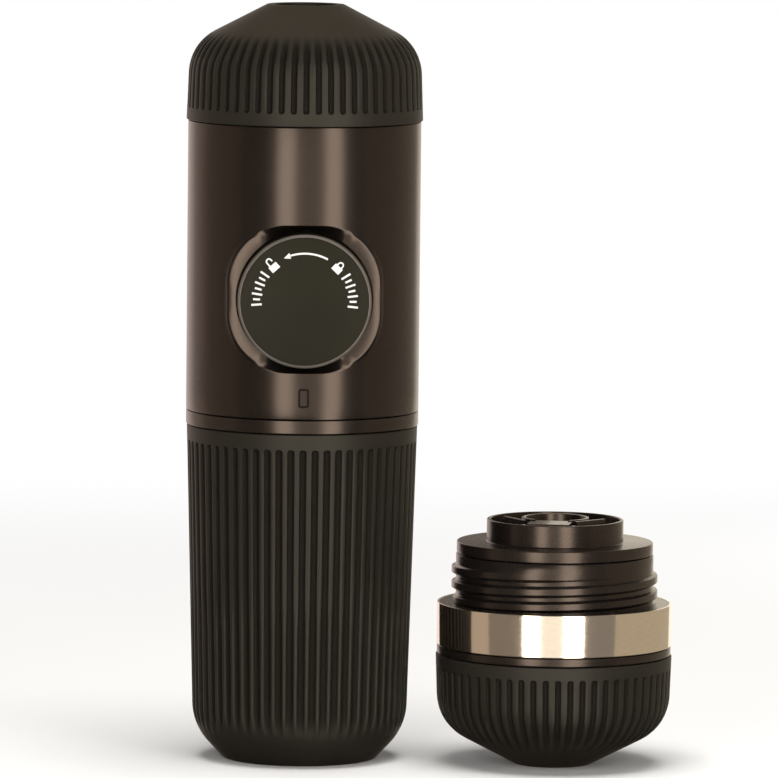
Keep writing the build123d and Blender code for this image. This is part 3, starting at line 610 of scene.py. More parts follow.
def cylinder_depth(x, radius):
    """Depth, towards the front, of a cylinder about the maker's axis at a distance x from it."""
    return math.sqrt(max(0.0, radius**2 - x**2))


def ring_fall(away):
    """Drop of the surround's rounded face `away` inside its outline, below its inner edge."""
    fall = FACE_SLOPE * (FACE_WIDTH - away) - FACE_BEND * (FACE_WIDTH**2 - away**2) / 2
    over = max(0.0, 1 - away / EDGE_ROLL)
    return fall + EDGE_ROLL * (1 - math.sqrt(max(0.0, 1 - over**2)))


RING_DROP = ring_fall(0.02 * MM)


def surround_depth(x, away, radius, land, soft):
    """Depth of a skin `away` outside the surround's outline, easing into the cylinder."""
    round_depth = cylinder_depth(x, radius)
    proud = land - round_depth
    if proud <= 0:
        return round_depth + proud * (1 - smooth_step(away / FLUSH_EASE))
    return round_depth + proud * max(0.0, 1 - away / soft) ** FOOT_CURVE


def at_reach(angle, reach, depth):
    """A point by its bearing and distance from the knob's axis."""
    return (reach * math.cos(angle), -depth, KNOB_Z + reach * math.sin(angle))


def surround_at(angle):
    """The surround at a bearing: outline radius, cylinder's depth there, drop, side share.

    At the knob's sides the surround is a rounded ring that stands out of the cylinder; above
    and below the knob it is a dish cut into the cylinder.
    """
    outline = surround_radius(angle)
    cylinder = cylinder_depth(outline * math.cos(angle), BODY_RADIUS)
    proud = SURROUND_REACH - cylinder
    drop = min(RING_DROP, max(0.0, proud))
    return outline, cylinder, drop, smooth_step((proud + 0.6 * MM) / MM)


def dish(outline, cylinder, way):
    """Radius and depth on the dish, from its crest (0) to the well's edge (1)."""
    if way < CREST_SHARE:
        fall = way * way / (2 * CREST_SHARE)
    else:
        fall = way - CREST_SHARE / 2
    fall /= 1 - CREST_SHARE / 2
    low = SURROUND_REACH - DISH_DEPTH
    return outline + (WELL_EDGE - outline) * way, cylinder + (low - cylinder) * fall


# Each ring of the shell's front is a function of the bearing and of the border's point there.


def outside_ring(share, away, radius, land, soft):
    """A ring outside the surround, between its outline (share 0) and the border (share 1)."""
    def place(angle, x, z):
        reach = surround_radius(angle) + away
        px = reach * math.cos(angle) * (1 - share) + x * share
        pz = reach * math.sin(angle) * (1 - share) + z * share
        gap = math.hypot(px, pz) - surround_radius(angle)
        return (px, -surround_depth(px, gap, radius, land, soft), KNOB_Z + pz)
    return place


def foot_ring(away):
    """A ring outside the outline, on the surround's steep side or on the cylinder."""
    def place(angle, x, z):
        outline, cylinder, drop, _ = surround_at(angle)
        edge = max(SURROUND_REACH - drop, cylinder)
        across = (outline + away) * math.cos(angle)
        depth = surround_depth(across, away, BODY_RADIUS, edge, FOOT_WIDTH)
        return at_reach(angle, outline + away, depth)
    return place


def face_ring(way):
    """A ring on the surround's face, from its outline (0) to the well's edge (1)."""
    def place(angle, x, z):
        outline, cylinder, drop, share = surround_at(angle)
        reach, dish_depth = dish(outline, cylinder, way)
        face_depth = SURROUND_REACH - drop * min(1.0, ring_fall(FACE_WIDTH * way) / RING_DROP)
        return at_reach(angle, reach, share * face_depth + (1 - share) * dish_depth)
    return place


def inside_ring(reach, depth):
    """A round ring in the well."""
    def place(angle, x, z):
        return at_reach(angle, reach, depth)
    return place


MARK_RISE = 5.7 * MM
MARK_WIDTH, MARK_LENGTH = 2.9 * MM, 5.1 * MM
MARK_LINE = 0.6 * MM
MARK_CORNER = 0.75 * MM
MARK_DEPTH = 0.45 * MM
MARK_SUNK = 0.14 * MM
MARK_GAP = 0.01 * MM
SHELL_SMOOTH_ANGLE = 40.0


def mark_tube(name, insets, levels, depth_at):
    """A tube along the mark's outline, between two insets and two levels."""
    section = [(insets[0], levels[0]), (insets[1], levels[0]),
               (insets[1], levels[1]), (insets[0], levels[1])]
    vertices = []
    for inset, level in section:
        half_x, half_z = MARK_WIDTH / 2 - inset, MARK_LENGTH / 2 - inset
        corners = [(-half_x, -half_z), (half_x, -half_z), (half_x, half_z), (-half_x, half_z)]
        loop = rounded([(x, z, MARK_CORNER - inset) for x, z in corners], 6)
        vertices += [(x, -depth_at(x, level), BODY_LOW + MARK_RISE + z) for x, z in loop]
    return make_object(name, vertices, grid_faces(len(section), len(loop)))


def cut_mark(shell):
    """Cut the outline of the index mark into the shell as a fine groove, and lay its line in."""
    cutter = mark_tube("mark_cutter", (0.0, MARK_LINE),
                       (BODY_RADIUS + MM, BODY_RADIUS - MARK_DEPTH), lambda x, level: level)
    cut = shell.modifiers.new("mark", "BOOLEAN")
    cut.operation = "DIFFERENCE"
    cut.solver = "EXACT"
    cut.object = cutter
    evaluated = shell.evaluated_get(bpy.context.evaluated_depsgraph_get())
    carved = bpy.data.meshes.new_from_object(evaluated)
    shell.modifiers.remove(cut)
    bpy.data.objects.remove(cutter)
    carved.shade_smooth()
    carved.set_sharp_from_angle(angle=math.radians(SHELL_SMOOTH_ANGLE))
    shell.data = carved
    line = mark_tube("mark_line", (MARK_GAP, MARK_LINE - MARK_GAP),
                     (MARK_SUNK, MARK_DEPTH - MARK_GAP),
                     lambda x, level: cylinder_depth(x, BODY_RADIUS) - level)
    finish_piece(line, "main_body", "black_plastic", "index_mark", material=MARK_BLACK)


def shell_bearings():
    """Bearings of the shell's columns: even across the front patch, then round the back."""
    cells = even(-PATCH_HALF_WIDTH, PATCH_HALF_WIDTH, PATCH_CELLS)
    front = [math.asin(x / BODY_RADIUS) for x in cells]
    return front[:-1] + even(front[-1], 2 * math.pi - front[-1], BACK_CELLS)[:-1]


def shell_rows():
    """Heights of the shell's rows, each with its cut off the radius at the bevelled ends."""
    patch = even(KNOB_Z - PATCH_HALF_HEIGHT, KNOB_Z + PATCH_HALF_HEIGHT, PATCH_CELLS)
    end = [(0.0, BODY_BEVEL), (0.3 * BODY_BEVEL, 0.3 * BODY_BEVEL), (BODY_BEVEL, 0.0)]
    rows = [(BODY_LOW + rise, cut) for rise, cut in end]
    rows += [(z, 0.0) for z in (patch[0] - PATCH_MARGIN, *patch)]
    return rows + [(BODY_TOP - rise, cut) for rise, cut in reversed(end)]


def make_body_shell():
    """Cylinder shell whose front grid opens into rings round the knob's well."""
    bearings, rows = shell_bearings(), shell_rows()
    columns = len(bearings)
    vertices, faces = [], []

    def skin(radius, use_bevel):
        """The cylinder's grid; returns the index of its first point."""
        start = len(vertices)
        for z, cut in rows:
            r = radius - (cut if use_bevel else 0.0)
            vertices.extend((r * math.sin(b), -r * math.cos(b), z) for b in bearings)
        for i in range(len(rows) - 1):
            in_patch_rows = FIRST_PATCH_ROW <= i < FIRST_PATCH_ROW + PATCH_CELLS
            for j in range(columns):
                if in_patch_rows and j < PATCH_CELLS:
                    continue
                a = start + i * columns + j
                b = start + i * columns + (j + 1) % columns
                faces.append((a, b, b + columns, a + columns))
        return start

    def border(start):
        """Indices of the grid's points round the patch, anticlockwise seen from the front."""
        run = range(PATCH_CELLS)
        places = [(0, k) for k in run] + [(k, PATCH_CELLS) for k in run]
        places += [(PATCH_CELLS, PATCH_CELLS - k) for k in run]
        places += [(PATCH_CELLS - k, 0) for k in run]
        return [start + (FIRST_PATCH_ROW + i) * columns + j for i, j in places]

    def join(first, second):
        """Faces between two loops of as many points."""
        after = [*range(1, len(first)), 0]
        faces.extend((first[k], first[n], second[n], second[k]) for k, n in enumerate(after))

    def add_rings(outer_ring, chain):
        """Rings joined one to the next, from the border inwards; returns the last."""
        last = outer_ring
        for ring in chain:
            start = len(vertices)
            for index in outer_ring:
                x, _, z = vertices[index]
                vertices.append(ring(math.atan2(z - KNOB_Z, x), x, z - KNOB_Z))
            now = list(range(start, len(vertices)))
            join(last, now)
            last = now
        return last

    outer = skin(BODY_RADIUS, True)
    inner = skin(BODY_RADIUS - BODY_WALL, False)
    chain = [outside_ring(share, 3.0 * MM, BODY_RADIUS, SURROUND_REACH, FOOT_WIDTH)
             for share in (0.75, 0.5, 0.25)]
    chain += [foot_ring(away * MM) for away in FOOT_AWAYS]
    chain += [face_ring(way) for way in FACE_WAYS]
    chain += [inside_ring(WELL_RADIUS, WELL_FLOOR), inside_ring(LIP_RADIUS, WELL_FLOOR),
              inside_ring(LIP_RADIUS, LIP_BACK)]
    front_end = add_rings(border(outer), chain)
    chain = [outside_ring(share, away, BODY_RADIUS - BODY_WALL, LIP_BACK, LIP_EASE)
             for share, away in ((0.5, 0.6 * MM), (0, LIP_EASE), (0, 0.0))]
    join(front_end, add_rings(border(inner), chain))
    top = (len(rows) - 1) * columns
    for j in range(columns):
        k = (j + 1) % columns
        faces.append((outer + j, outer + k, inner + k, inner + j))
        faces.append((outer + top + j, outer + top + k, inner + top + k, inner + top + j))
    piece = make_object("body_shell_skin", vertices, faces, SHELL_SMOOTH_ANGLE)
    cut_mark(piece)
    finish_piece(piece, "main_body", "soft_touch_black", "body_shell")


# ---- Knob ----

KNOB_RIM = 0.5 * MM
SKIRT_LENGTH = 14.0 * MM
SKIRT_BORE = 15.5 * MM
CAP_DEPTH = 5.5 * MM
BOSS_BORE, BOSS_RADIUS = 6.6 * MM, 9.0 * MM
SCREW_SEAT, SCREW_SEAT_DEPTH = 3.05 * MM, 2.2 * MM
SCREW_HOLE = 1.3 * MM
FACE_RADIUS = 16.76 * MM
FACE_THICKNESS = 1.2 * MM
FACE_SUNK = 0.02 * MM
KNOB_COLUMNS = 192


def make_knob():
    """Knob cap with a thin bevelled rim, its rim ring made lighter and glossier as a painted
    highlight line, and the face disc that fills it.
    """
    skirt = KNOB_REACH - SKIRT_LENGTH
    floor = KNOB_REACH - CAP_DEPTH
    seat = KNOB_REACH - FACE_THICKNESS
    recess = FACE_RADIUS + 0.06 * MM
    edge_back = KNOB_REACH - KNOB_RIM - 0.15 * MM
    corners = [
        (SKIRT_BORE, skirt, 0.2 * MM),
        (KNOB_RADIUS, skirt, 0.3 * MM),
        (KNOB_RADIUS, edge_back, 0.0),
        (KNOB_RADIUS - 0.3 * MM, edge_back, 0.0),
        (recess, edge_back, 0.0),
        (recess, seat, 0.0),
        (SCREW_SEAT, seat, 0.0),
        (SCREW_SEAT, seat - SCREW_SEAT_DEPTH, 0.0),
        (SCREW_HOLE, seat - SCREW_SEAT_DEPTH, 0.0),
        (SCREW_HOLE, floor, 0.0),
        (BOSS_BORE, floor, 0.0),
        (BOSS_BORE, KNOB_BACK, 0.2 * MM),
        (BOSS_RADIUS, KNOB_BACK, 0.2 * MM),
        (BOSS_RADIUS, floor, 0.0),
        (SKIRT_BORE, floor, 0.0),
    ]
    cap = turned("knob_cap", rounded(corners, 6), frontward, KNOB_COLUMNS)
    finish_piece(cap, "knob", "knob_plastic", "knob")
    # The rim ring, which carries the painted highlight.
    edge = [
        (recess, edge_back + 0.01 * MM, 0.0),
        (KNOB_RADIUS, edge_back + 0.01 * MM, 0.0),
        (KNOB_RADIUS, KNOB_REACH - KNOB_RIM, 0.25 * MM),
        (KNOB_RADIUS - KNOB_RIM, KNOB_REACH, 0.25 * MM),
        (recess, KNOB_REACH, 0.03 * MM),
    ]
    rim = turned("knob_edge_highlight", rounded(edge, 5), frontward, KNOB_COLUMNS)
    finish_piece(rim, "knob", "knob_plastic", material=KNOB_EDGE_HIGHLIGHT)
    face = [
        (0, seat, 0),
        (FACE_RADIUS, seat, 0),
        (FACE_RADIUS, KNOB_REACH - FACE_SUNK, 0.08 * MM),
        (0, KNOB_REACH - FACE_SUNK, 0),
    ]
    disc = turned("knob_disc", rounded(face, 3), frontward, KNOB_COLUMNS)
    finish_piece(disc, "knob", "knob_plastic", "knob_face")


KNOB_PRINT = KNOB_REACH - 0.004 * MM
LEGEND_RADIUS = 12.6 * MM
LEGEND_STROKE = 0.5 * MM
ARROW_SHAFT = (62, 109)
ARROW_TIP, ARROW_BACK = 116, 108
ARROW_HALF = 0.8 * MM
PADLOCKS = ((132, 0.7 * MM), (46, 0.0))
LOCK_WIDTH, LOCK_HEIGHT, LOCK_LOW = 2.5 * MM, 1.8 * MM, -1.5 * MM
SHACKLE_LOW = 0.28 * MM
TICK_RUNS = ((146, 6.3), (32, -6.3))
TICKS = 7
TICK_WIDTH = 0.52 * MM
TICK_SHORT, TICK_LONG = 1.8 * MM, 2.7 * MM


def arc_points(radius, first, last, steps):
    """Points of an arc on the knob's face; angles in degrees from +X towards +Z."""
    angles = [math.radians(angle) for angle in even(first, last, steps)]
    return [(radius * math.cos(a), radius * math.sin(a)) for a in angles]


def arc_band(radius, width, first, last, steps):
    """Outline of a printed arc."""
    outer = arc_points(radius + width / 2, first, last, steps)
    inner = arc_points(radius - width / 2, last, first, steps)
    return outer + inner


def placed_round(outline, angle):
    """An outline drawn upright about (0, 0), put on the legend's circle at an angle."""
    middle = math.radians(angle)
    cx, cz = LEGEND_RADIUS * math.cos(middle), LEGEND_RADIUS * math.sin(middle)
    c, s = math.cos(math.radians(angle - 90)), math.sin(math.radians(angle - 90))
    return [(cx + x * c - z * s, cz + x * s + z * c) for x, z in outline]


def box_outline(width, height, low):
    """A rectangle centred on x = 0 that stands on a height."""
    half = width / 2
    return [(-half, low), (half, low), (half, low + height), (-half, low + height)]


def shackle(lift):
    """Outline of a padlock's shackle, raised by `lift`, its left foot kept down."""
    outer, inner, top = 0.86 * MM, 0.48 * MM, 0.5 * MM
    rise = top + lift
    arc = even(0, math.pi, 10)
    over = [(outer * math.cos(a), rise + outer * math.sin(a)) for a in arc]
    under = [(inner * math.cos(a), rise + inner * math.sin(a)) for a in reversed(arc)]
    return [(outer, lift), *over, (-outer, 0.0), (-inner, 0.0), *under, (inner, lift)]


def make_legend():
    """Arrow from the locked to the released side, with a padlock and ticks at each end."""
    outlines = [arc_band(LEGEND_RADIUS, LEGEND_STROKE, *ARROW_SHAFT, 24)]
    head = [(0.0, ARROW_TIP), (-ARROW_HALF, ARROW_BACK), (ARROW_HALF, ARROW_BACK)]
    outlines.append([arc_points(LEGEND_RADIUS + away, a, a, 1)[0] for away, a in head])
    for angle, lift in PADLOCKS:
        outlines.append(placed_round(box_outline(LOCK_WIDTH, LOCK_HEIGHT, LOCK_LOW), angle))
        outlines.append(placed_round([(x, z + SHACKLE_LOW) for x, z in shackle(lift)], angle))
    for start, step in TICK_RUNS:
        for k in range(TICKS):
            tall = TICK_SHORT if k % 2 else TICK_LONG
            tick = box_outline(TICK_WIDTH, tall, -tall / 2)
            outlines.append(placed_round(tick, start + step * k))
    shapes = [([(x, -KNOB_PRINT, KNOB_Z + z) for x, z in outline], [range(len(outline))])
              for outline in outlines]
    finish_piece(join_shapes("knob_legend", shapes), "knob", None, material=LEGEND_WHITE)


# ---- Tank collar and threaded necks ----

THREAD_LEAD = 4.0 * MM
THREAD_CREST = 1.5 * MM
THREAD_FLANK = 0.8 * MM
THREAD_START, THREAD_END = 1.0 * MM, 1.6 * MM
THREAD_STEP = 0.14 * MM
THREAD_COLUMNS = 180
THREAD_SMOOTH_ANGLE = 45.0
NECK_THREAD_DEPTH = 1.1 * MM


def ridge(away):
    """Height share of the thread's ridge, by distance along the axis from its middle."""
    return smooth_step((THREAD_CREST / 2 + THREAD_FLANK - abs(away)) / THREAD_FLANK)


def threaded(name, centre, bore, low, high, plain, root, crest, run, middle):
    """A threaded tube: plain below the run = (first, last) of the thread, ridged along it.

    `middle` is a height of the ridge's middle on the -X side. A `plain` radius of 0 leaves the
    plain stretch out.
    """
    first, last = run
    heights = even(first, last, math.ceil((last - first) / THREAD_STEP))
    bevel = 0.25 * MM
    place = upright(centre)
    outer = [(root - bevel, low, 0)]
    if plain:
        outer = [(plain - bevel, low, 0), (plain, low + bevel, 0), (plain, first - 0.01 * MM, 0)]
    outer += [(root, z, 1) for z in heights]
    outer += [(root, high - bevel, 0), (root - bevel, high, 0)]
    outline = outer + [(bore, high, 0), (bore, low, 0)]
    vertices = []
    for radius, z, is_thread in outline:
        for j in range(THREAD_COLUMNS):
            angle = 2 * math.pi * j / THREAD_COLUMNS
            r = radius
            if is_thread:
                phase = (z - middle) / THREAD_LEAD - (angle - math.pi) / (2 * math.pi)
                away = ((phase + 0.5) % 1.0 - 0.5) * THREAD_LEAD
                ends = smooth_step((z - away - first) / THREAD_START)
                ends *= smooth_step((last - (z - away)) / THREAD_END)
                r += (crest - root) * ridge(away) * ends
            vertices.append(place(r, angle, z))
    faces = grid_faces(len(outline), THREAD_COLUMNS)
    return make_object(name, vertices, faces, THREAD_SMOOTH_ANGLE)


def make_neck(node, body, wall, top, run, middle):
    """A neck with the thread that it screws in by."""
    _, _, reach, low, _ = span(node)
    piece = threaded(node + "_thread", MAKER, reach - wall, low, top, 0,
                     reach - NECK_THREAD_DEPTH, reach, run, middle)
    finish_piece(piece, body, "black_plastic", node)


def make_necks():
    """The neck that screws into the tank, and the outlet head's."""
    _, _, _, low, high = span("tank_neck")
    top = high - 1.8 * MM
    make_neck("tank_neck", "main_body", 2.2 * MM, top, (low + 0.5 * MM, top - 0.6 * MM),
              low + 3.0 * MM)
    _, _, _, low, high = span("head_neck")
    make_neck("head_neck", "outlet_head", 3.0 * MM, high, (low + 0.6 * MM, BODY_TOP - 0.4 * MM),
              low + 2.4 * MM)


def tube(name, centre, radii, heights, bevel, inner_bevel=0.0, columns=180):
    """A tube with bevelled outer edges, and a bevel inside its top."""
    bore, reach = radii
    low, high = heights
    section = rounded([(bore, low, 0), (reach, low, bevel), (reach, high, bevel),
                       (bore, high, inner_bevel)])
    return turned(name, section, upright(centre), columns)


COLLAR_BORE = 28.1 * MM


def make_collar():
    """The ring that parts the cup from the body."""
    radii = (COLLAR_BORE, BODY_RADIUS)
    piece = tube("tank_collar_ring", MAKER, radii, span("tank_collar")[3:], 0.25 * MM)
    finish_piece(piece, "tank", "soft_touch_black", "tank_collar")


# ---- Adapter ----

ADAPTER_WALL = 4.7 * MM
ADAPTER_STEP = 0.4 * MM
ADAPTER_THREAD_DEPTH = 1.15 * MM
ADAPTER_THREAD_FROM, ADAPTER_THREAD_TO = 0.1 * MM, 2.6 * MM
ADAPTER_THREAD_MIDDLE = 4.7 * MM
BAND_WALL = 0.5 * MM
BAND_GAP = 0.05 * MM


def make_adapter():
    """Threaded collar, the black ring and the steel band round it."""
    _, _, reach, low, top = span("adapter_collar")
    _, _, band, band_low, band_top = span("adapter_band")
    plain = reach - ADAPTER_STEP
    bore = plain + BAND_GAP
    sleeve = band - BAND_WALL
    run = (band_top + ADAPTER_THREAD_FROM, top - ADAPTER_THREAD_TO)
    collar = threaded("adapter_collar_thread", ADAPTER, reach - ADAPTER_WALL, low, top, plain,
                      reach - ADAPTER_THREAD_DEPTH, reach, run, band_top + ADAPTER_THREAD_MIDDLE)
    finish_piece(collar, "adapter_collar", "black_plastic", "adapter_collar")
    ring = tube("adapter_ring_soft", ADAPTER, (bore, band), span("adapter_ring")[3:], 0.3 * MM)
    finish_piece(ring, "adapter_collar", "black_plastic", "adapter_ring")
    shoulder = tube("adapter_shoulder", ADAPTER, (bore, sleeve),
                    (band_low, band_top - BAND_GAP), 0.0)
    finish_piece(shoulder, "adapter_collar", "black_plastic")
    steel = tube("adapter_band_steel", ADAPTER, (sleeve, band), (band_low, band_top),
                 0.18 * MM, 0.05 * MM, 240)
    finish_piece(steel, "adapter_collar", "steel", "adapter_band")


INSERT_TURN = math.radians(-10.0)
CAGE_MIDLINE = 8.4 * MM
CAGE_MOUTH = math.radians(33.0)
CAGE_STEPS = 48
WING_FOOT = (6.7 * MM, -9.6 * MM)
WING_TIP = (13.2 * MM, -1.2 * MM)
WALL_THICKNESS = 1.1 * MM
TONGUE_HALF = 5.6 * MM
TONGUE_FRONT, TONGUE_BACK = -15.2 * MM, -6.2 * MM
POST_PLACE = (6.7 * MM, -14.4 * MM)
POST_HALF = 0.6 * MM
POST_WIDTH = 1.3 * MM
CAGE_OVER_RIM = 0.5 * MM
TONGUE_DROP = 0.3 * MM
POST_DROP = 0.1 * MM


def insert_point(x, y, z):
    """A point given about the adapter's axis, turned with the insert."""
    c, s = math.cos(INSERT_TURN), math.sin(INSERT_TURN)
    return (ADAPTER_X + x * c - y * s, ADAPTER_Y + x * s + y * c, z)


def wall_along(path, thickness, low, high):
    """Vertices and faces of an upright wall with a softened top, swept along a path."""
    soft = 0.22 * MM
    half = thickness / 2
    profile = [(-half, low), (-half, high - soft), (-half + 0.3 * soft, high - 0.3 * soft),
               (-half + soft, high), (half - soft, high), (half - 0.3 * soft, high - 0.3 * soft),
               (half, high - soft), (half, low)]
    vertices, faces = [], []
    for i, here in enumerate(path):
        before, after = path[max(i - 1, 0)], path[min(i + 1, len(path) - 1)]
        along = Vector((after[0] - before[0], after[1] - before[1])).normalized()
        side = Vector((-along.y, along.x))
        for a, z in profile:
            vertices.append(insert_point(here[0] + side.x * a, here[1] + side.y * a, z))
    n = len(profile)
    for i in range(len(path) - 1):
        for k in range(n):
            b = i * n + (k + 1) % n
            faces.append((i * n + k, b, b + n, (i + 1) * n + k))
    faces.append(tuple(range(n)))
    faces.append(tuple(range((len(path) - 1) * n, len(path) * n)))
    return vertices, faces


def make_insert():
    """Flange with the raised ring, and inside it the cage, its two wings, the tongue and posts."""
    _, _, reach, low, top = span("adapter_top_insert")
    seat = low + 6.0 * MM
    deck = seat + 3.1 * MM
    rim = 18.1 * MM
    rim_bore = rim - 1.0 * MM
    plug = 22.3 * MM
    plug_bore = plug - 1.6 * MM
    hole = 1.6 * MM
    section = rounded([
        (hole, seat, 0),
        (plug_bore, seat, 0),
        (plug_bore, low, 0.2 * MM),
        (plug, low, 0.3 * MM),
        (plug, seat, 0),
        (reach, seat, 0.3 * MM),
        (reach, deck, 0.35 * MM),
        (rim, deck, 0.4 * MM),
        (rim, top, 0.3 * MM),
        (rim_bore, top, 0.25 * MM),
        (rim_bore, deck, 0.3 * MM),
        (hole, deck, 0.2 * MM),
    ], 4)
    flange = turned("insert_flange", section, upright(ADAPTER), 180)
    finish_piece(flange, "adapter_insert", "black_plastic", "adapter_top_insert")
    crown = top + CAGE_OVER_RIM
    arc = even(CAGE_MOUTH - math.pi / 2, 1.5 * math.pi - CAGE_MOUTH, CAGE_STEPS)
    round_path = [(CAGE_MIDLINE * math.cos(a), CAGE_MIDLINE * math.sin(a)) for a in arc]
    shapes = [wall_along(round_path, WALL_THICKNESS, deck, crown)]
    for side in (-1, 1):
        wing = [(side * WING_FOOT[0], WING_FOOT[1]), (side * WING_TIP[0], WING_TIP[1])]
        shapes.append(wall_along(wing, WALL_THICKNESS, deck, crown))
        post = [(side * POST_PLACE[0], POST_PLACE[1] + away) for away in (-POST_HALF, POST_HALF)]
        shapes.append(wall_along(post, POST_WIDTH, deck, top - POST_DROP))
    tongue = [(0, TONGUE_FRONT), (0, TONGUE_BACK)]
    shapes.append(wall_along(tongue, 2 * TONGUE_HALF, deck, crown - TONGUE_DROP))
    finish_piece(join_shapes("insert_cage", shapes), "adapter_insert", "black_plastic")


# ---- Camera, lights and stage ----

CAMERA_DISTANCE = 2.2
CAMERA_HEIGHT = 0.3124
CAMERA_LENS = 385.4
CAMERA_TARGET = Vector((0.0230, 0.0, 0.0984))
CAMERA_X = -0.0250
CAMERA_ROLL = math.radians(0.6)


def make_camera():
    """The camera of the photo, a little above the table and rolled by a hair."""
    lens = bpy.data.cameras.new("camera")
    lens.lens = CAMERA_LENS
    lens.sensor_width = 36.0
    lens.clip_end = 60.0
    camera = placed("camera", lens)
    place = Vector((CAMERA_X, -CAMERA_DISTANCE, CAMERA_HEIGHT))
    look = (CAMERA_TARGET - place).to_track_quat("-Z", "Y").to_matrix().to_4x4()
    roll = Matrix.Rotation(CAMERA_ROLL, 4, "Z")
    camera.matrix_world = Matrix.Translation(place) @ look @ roll
    bpy.context.scene.camera = camera


LIGHT_CENTRE = Vector((0.025, 0.0, 0.11))
LIGHT_COLOUR = (1.0, 0.98, 0.96)
# Soft light from the front, from behind on both sides and from overhead, by bearing from the
# front, distance, height, width, tallness and radiance.
LIGHTS = (
    ("key_left", -19.5, 0.48, 0.175, 0.19, 0.33, 4.2),
    ("key_right", 30.5, 0.48, 0.175, 0.16, 0.33, 4.2),
    ("back_left", -142, 0.60, 0.175, 0.20, 0.33, 2.0),
    ("back_right", 150, 0.60, 0.175, 0.24, 0.33, 2.4),
    ("overhead", 10, 0.12, 0.95, 0.60, 0.60, 7.5),
)


def from_front(bearing, distance):
    """x and y of a place in the studio, its bearing in degrees from the camera's side."""
    a = math.radians(bearing)
    return LIGHT_CENTRE.x + distance * math.sin(a), -distance * math.cos(a)


def add_light(name, bearing, distance, height, width, tall, radiance):
    """A softbox turned to the object, of a given radiance."""
    light = bpy.data.lights.new(name, "AREA")
    light.shape = "RECTANGLE"
    light.size = width
    light.size_y = tall
    light.energy = radiance * math.pi * width * tall
    light.color = LIGHT_COLOUR
    lamp = placed(name, light)
    lamp.location = (*from_front(bearing, distance), height)
    aim = Vector((LIGHT_CENTRE.x, 0.0, min(height, LIGHT_CENTRE.z)))
    lamp.rotation_euler = (aim - lamp.location).to_track_quat("-Z", "Y").to_euler()
    lamp.visible_camera = False
    lamp.visible_glossy = False


CARD_LOW, CARD_HIGH = -0.20, 0.42
CARD_STEP = 6
GROUND_HALF = 3.0


def reflection_card(name, vertices, faces, colour):
    """A glowing card that is seen only in reflections and lights nothing."""
    mesh = bpy.data.meshes.new(name)
    mesh.from_pydata(vertices, [], faces)
    card = placed(name, mesh)
    material, tree, _, _ = new_material(name)
    glow = add_node(tree, "Emission", {"Color": (*colour, 1)})
    set_inputs(tree.nodes["Material Output"], {"Surface": glow.outputs[0]})
    material.cycles.emission_sampling = "NONE"
    mesh.materials.append(material)
    card.visible_camera = False
    card.visible_diffuse = False
    card.visible_shadow = False
    card.visible_transmission = False


# What the glossy sides mirror, the studio's softboxes and walls, by first and last bearing from
# the front, distance and radiance.
CARD_ZONES = (
    ("wall_left_back", -176, -136, 0.62, (1.15, 0.95, 0.86)),
    ("wall_left_far", -136, -112, 0.62, (0.80, 0.62, 0.54)),
    ("wall_left_edge", -112, -66, 0.62, (0.52, 0.42, 0.33)),
    ("wall_left_front", -66, -29, 0.62, (0.26, 0.22, 0.185)),
    ("softbox_left", -28.5, -12, 0.62, (6.6, 6.1, 5.6)),
    ("softbox_middle", -12, 26, 0.62, (1.30, 1.20, 1.08)),
    ("softbox_right", 15, 32.0, 0.30, (6.6, 6.1, 5.6)),
    ("wall_right_front", 26, 60, 0.62, (0.28, 0.245, 0.22)),
    ("wall_right", 60, 148, 0.62, (0.52, 0.44, 0.33)),
    ("wall_right_back", 148, 174, 0.62, (1.25, 1.12, 0.92)),
    ("wall_behind", 174, 184, 0.62, (0.30, 0.26, 0.22)),
)
CEILING_LOW, CEILING_HIGH = (-0.5, 0.04), (0.55, 0.8)
CEILING_HEIGHT = 0.75


def level_card(name, low, high, z, colour):
    """A level card between two (x, y) corners."""
    corners = [(low[0], low[1], z), (high[0], low[1], z), (high[0], high[1], z),
               (low[0], high[1], z)]
    reflection_card(name, corners, [(0, 1, 2, 3)], colour)


def add_cards():
    """The ring of cards, a dark card on the ground and a warm ceiling behind the top."""
    for name, first, last, distance, colour in CARD_ZONES:
        steps = max(2, math.ceil((last - first) / CARD_STEP))
        vertices = [(*from_front(bearing, distance), z)
                    for bearing in even(first, last, steps) for z in (CARD_LOW, CARD_HIGH)]
        faces = [(2 * k, 2 * k + 2, 2 * k + 3, 2 * k + 1) for k in range(steps)]
        reflection_card(name, vertices, faces, colour)
    level_card("ground_card", (-GROUND_HALF, -GROUND_HALF), (GROUND_HALF, GROUND_HALF), CARD_LOW,
               (0.05, 0.04, 0.033))
    level_card("ceiling_card", CEILING_LOW, CEILING_HIGH, CEILING_HEIGHT, (0.62, 0.46, 0.32))


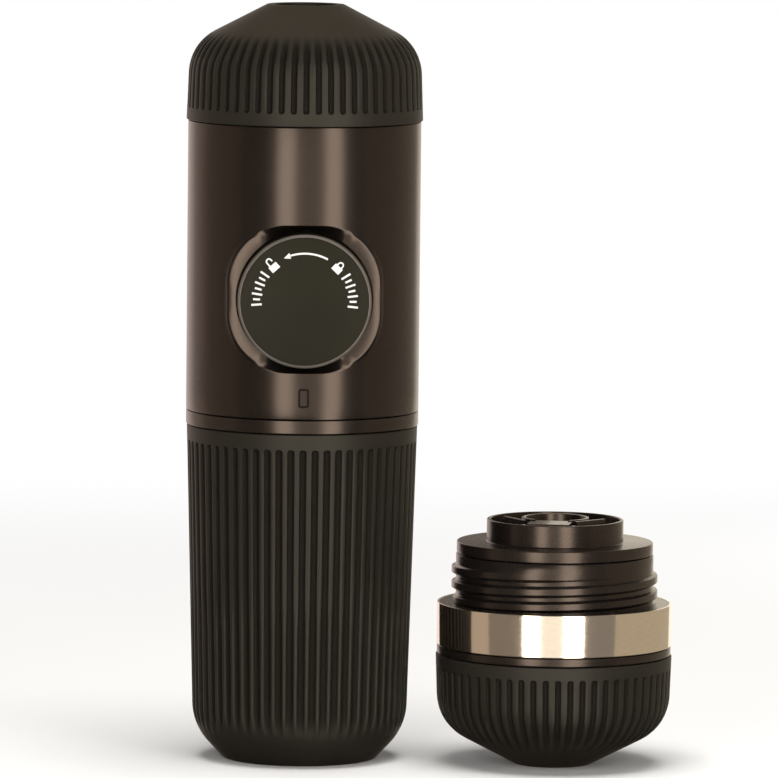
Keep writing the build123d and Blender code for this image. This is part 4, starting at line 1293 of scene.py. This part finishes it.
def view_rays(tree):
    """1 for camera, glossy and transmission rays, 0 for the rays that light the object."""
    path = add_node(tree, "LightPath", {})
    total = path.outputs["Is Camera Ray"]
    for kind in ("Is Glossy Ray", "Is Transmission Ray"):
        total = math_node(tree, "MAXIMUM", total, path.outputs[kind])
    return total


def make_world():
    """A dim even backdrop."""
    world = bpy.data.worlds.new("world")
    bpy.context.scene.world = world
    world.use_nodes = True
    backdrop = world.node_tree.nodes["Background"]
    set_inputs(backdrop, {"Color": (1, 0.985, 0.97, 1), "Strength": 0.16})


FLOOR_HALF = 12.0
WHITE_FROM, WHITE_FULL = 0.12, 0.7


def make_floor():
    """Pale floor that keeps the object's shadow and is white where it runs off behind."""
    mesh = bpy.data.meshes.new("floor")
    corners = [(-1, -1), (1, -1), (1, 1), (-1, 1)]
    mesh.from_pydata([(x * FLOOR_HALF, y * FLOOR_HALF, 0) for x, y in corners], [], [(0, 1, 2, 3)])
    floor = placed("floor", mesh)
    material, tree, shader, place = new_material("floor_white")
    set_inputs(shader, {"Base Color": (0.93, 0.93, 0.92, 1), "Roughness": 0.9,
                        "Specular IOR Level": 0.1})
    _, y, _ = split_axes(tree, place)
    behind = add_node(tree, "MapRange", {"Value": y, "From Min": WHITE_FROM,
                                         "From Max": WHITE_FULL})
    behind.interpolation_type = "SMOOTHSTEP"
    share = math_node(tree, "MULTIPLY", behind.outputs["Result"], view_rays(tree))
    white = add_node(tree, "Emission", {})
    mix = add_node(tree, "MixShader", {"Fac": share, 1: shader.outputs[0], 2: white.outputs[0]})
    set_inputs(tree.nodes["Material Output"], {"Surface": mix.outputs[0]})
    mesh.materials.append(material)
    floor.visible_glossy = False


make_camera()
make_world()
make_floor()
for softbox in LIGHTS:
    add_light(*softbox)
add_cards()

make_cup()
make_dome("outlet_dome", MAKER, HEAD_LOW, 1, HEAD_TOP - HEAD_LOW, "outlet_head")
make_dome("adapter_dome", ADAPTER, ADAPTER_HEAD_TOP, -1, ADAPTER_HEAD_TOP - ADAPTER_LOW,
          "adapter_head")
make_body_shell()
make_knob()
make_legend()
make_collar()
make_necks()
make_adapter()
make_insert()

bpy.context.scene.view_settings.view_transform = "Standard"
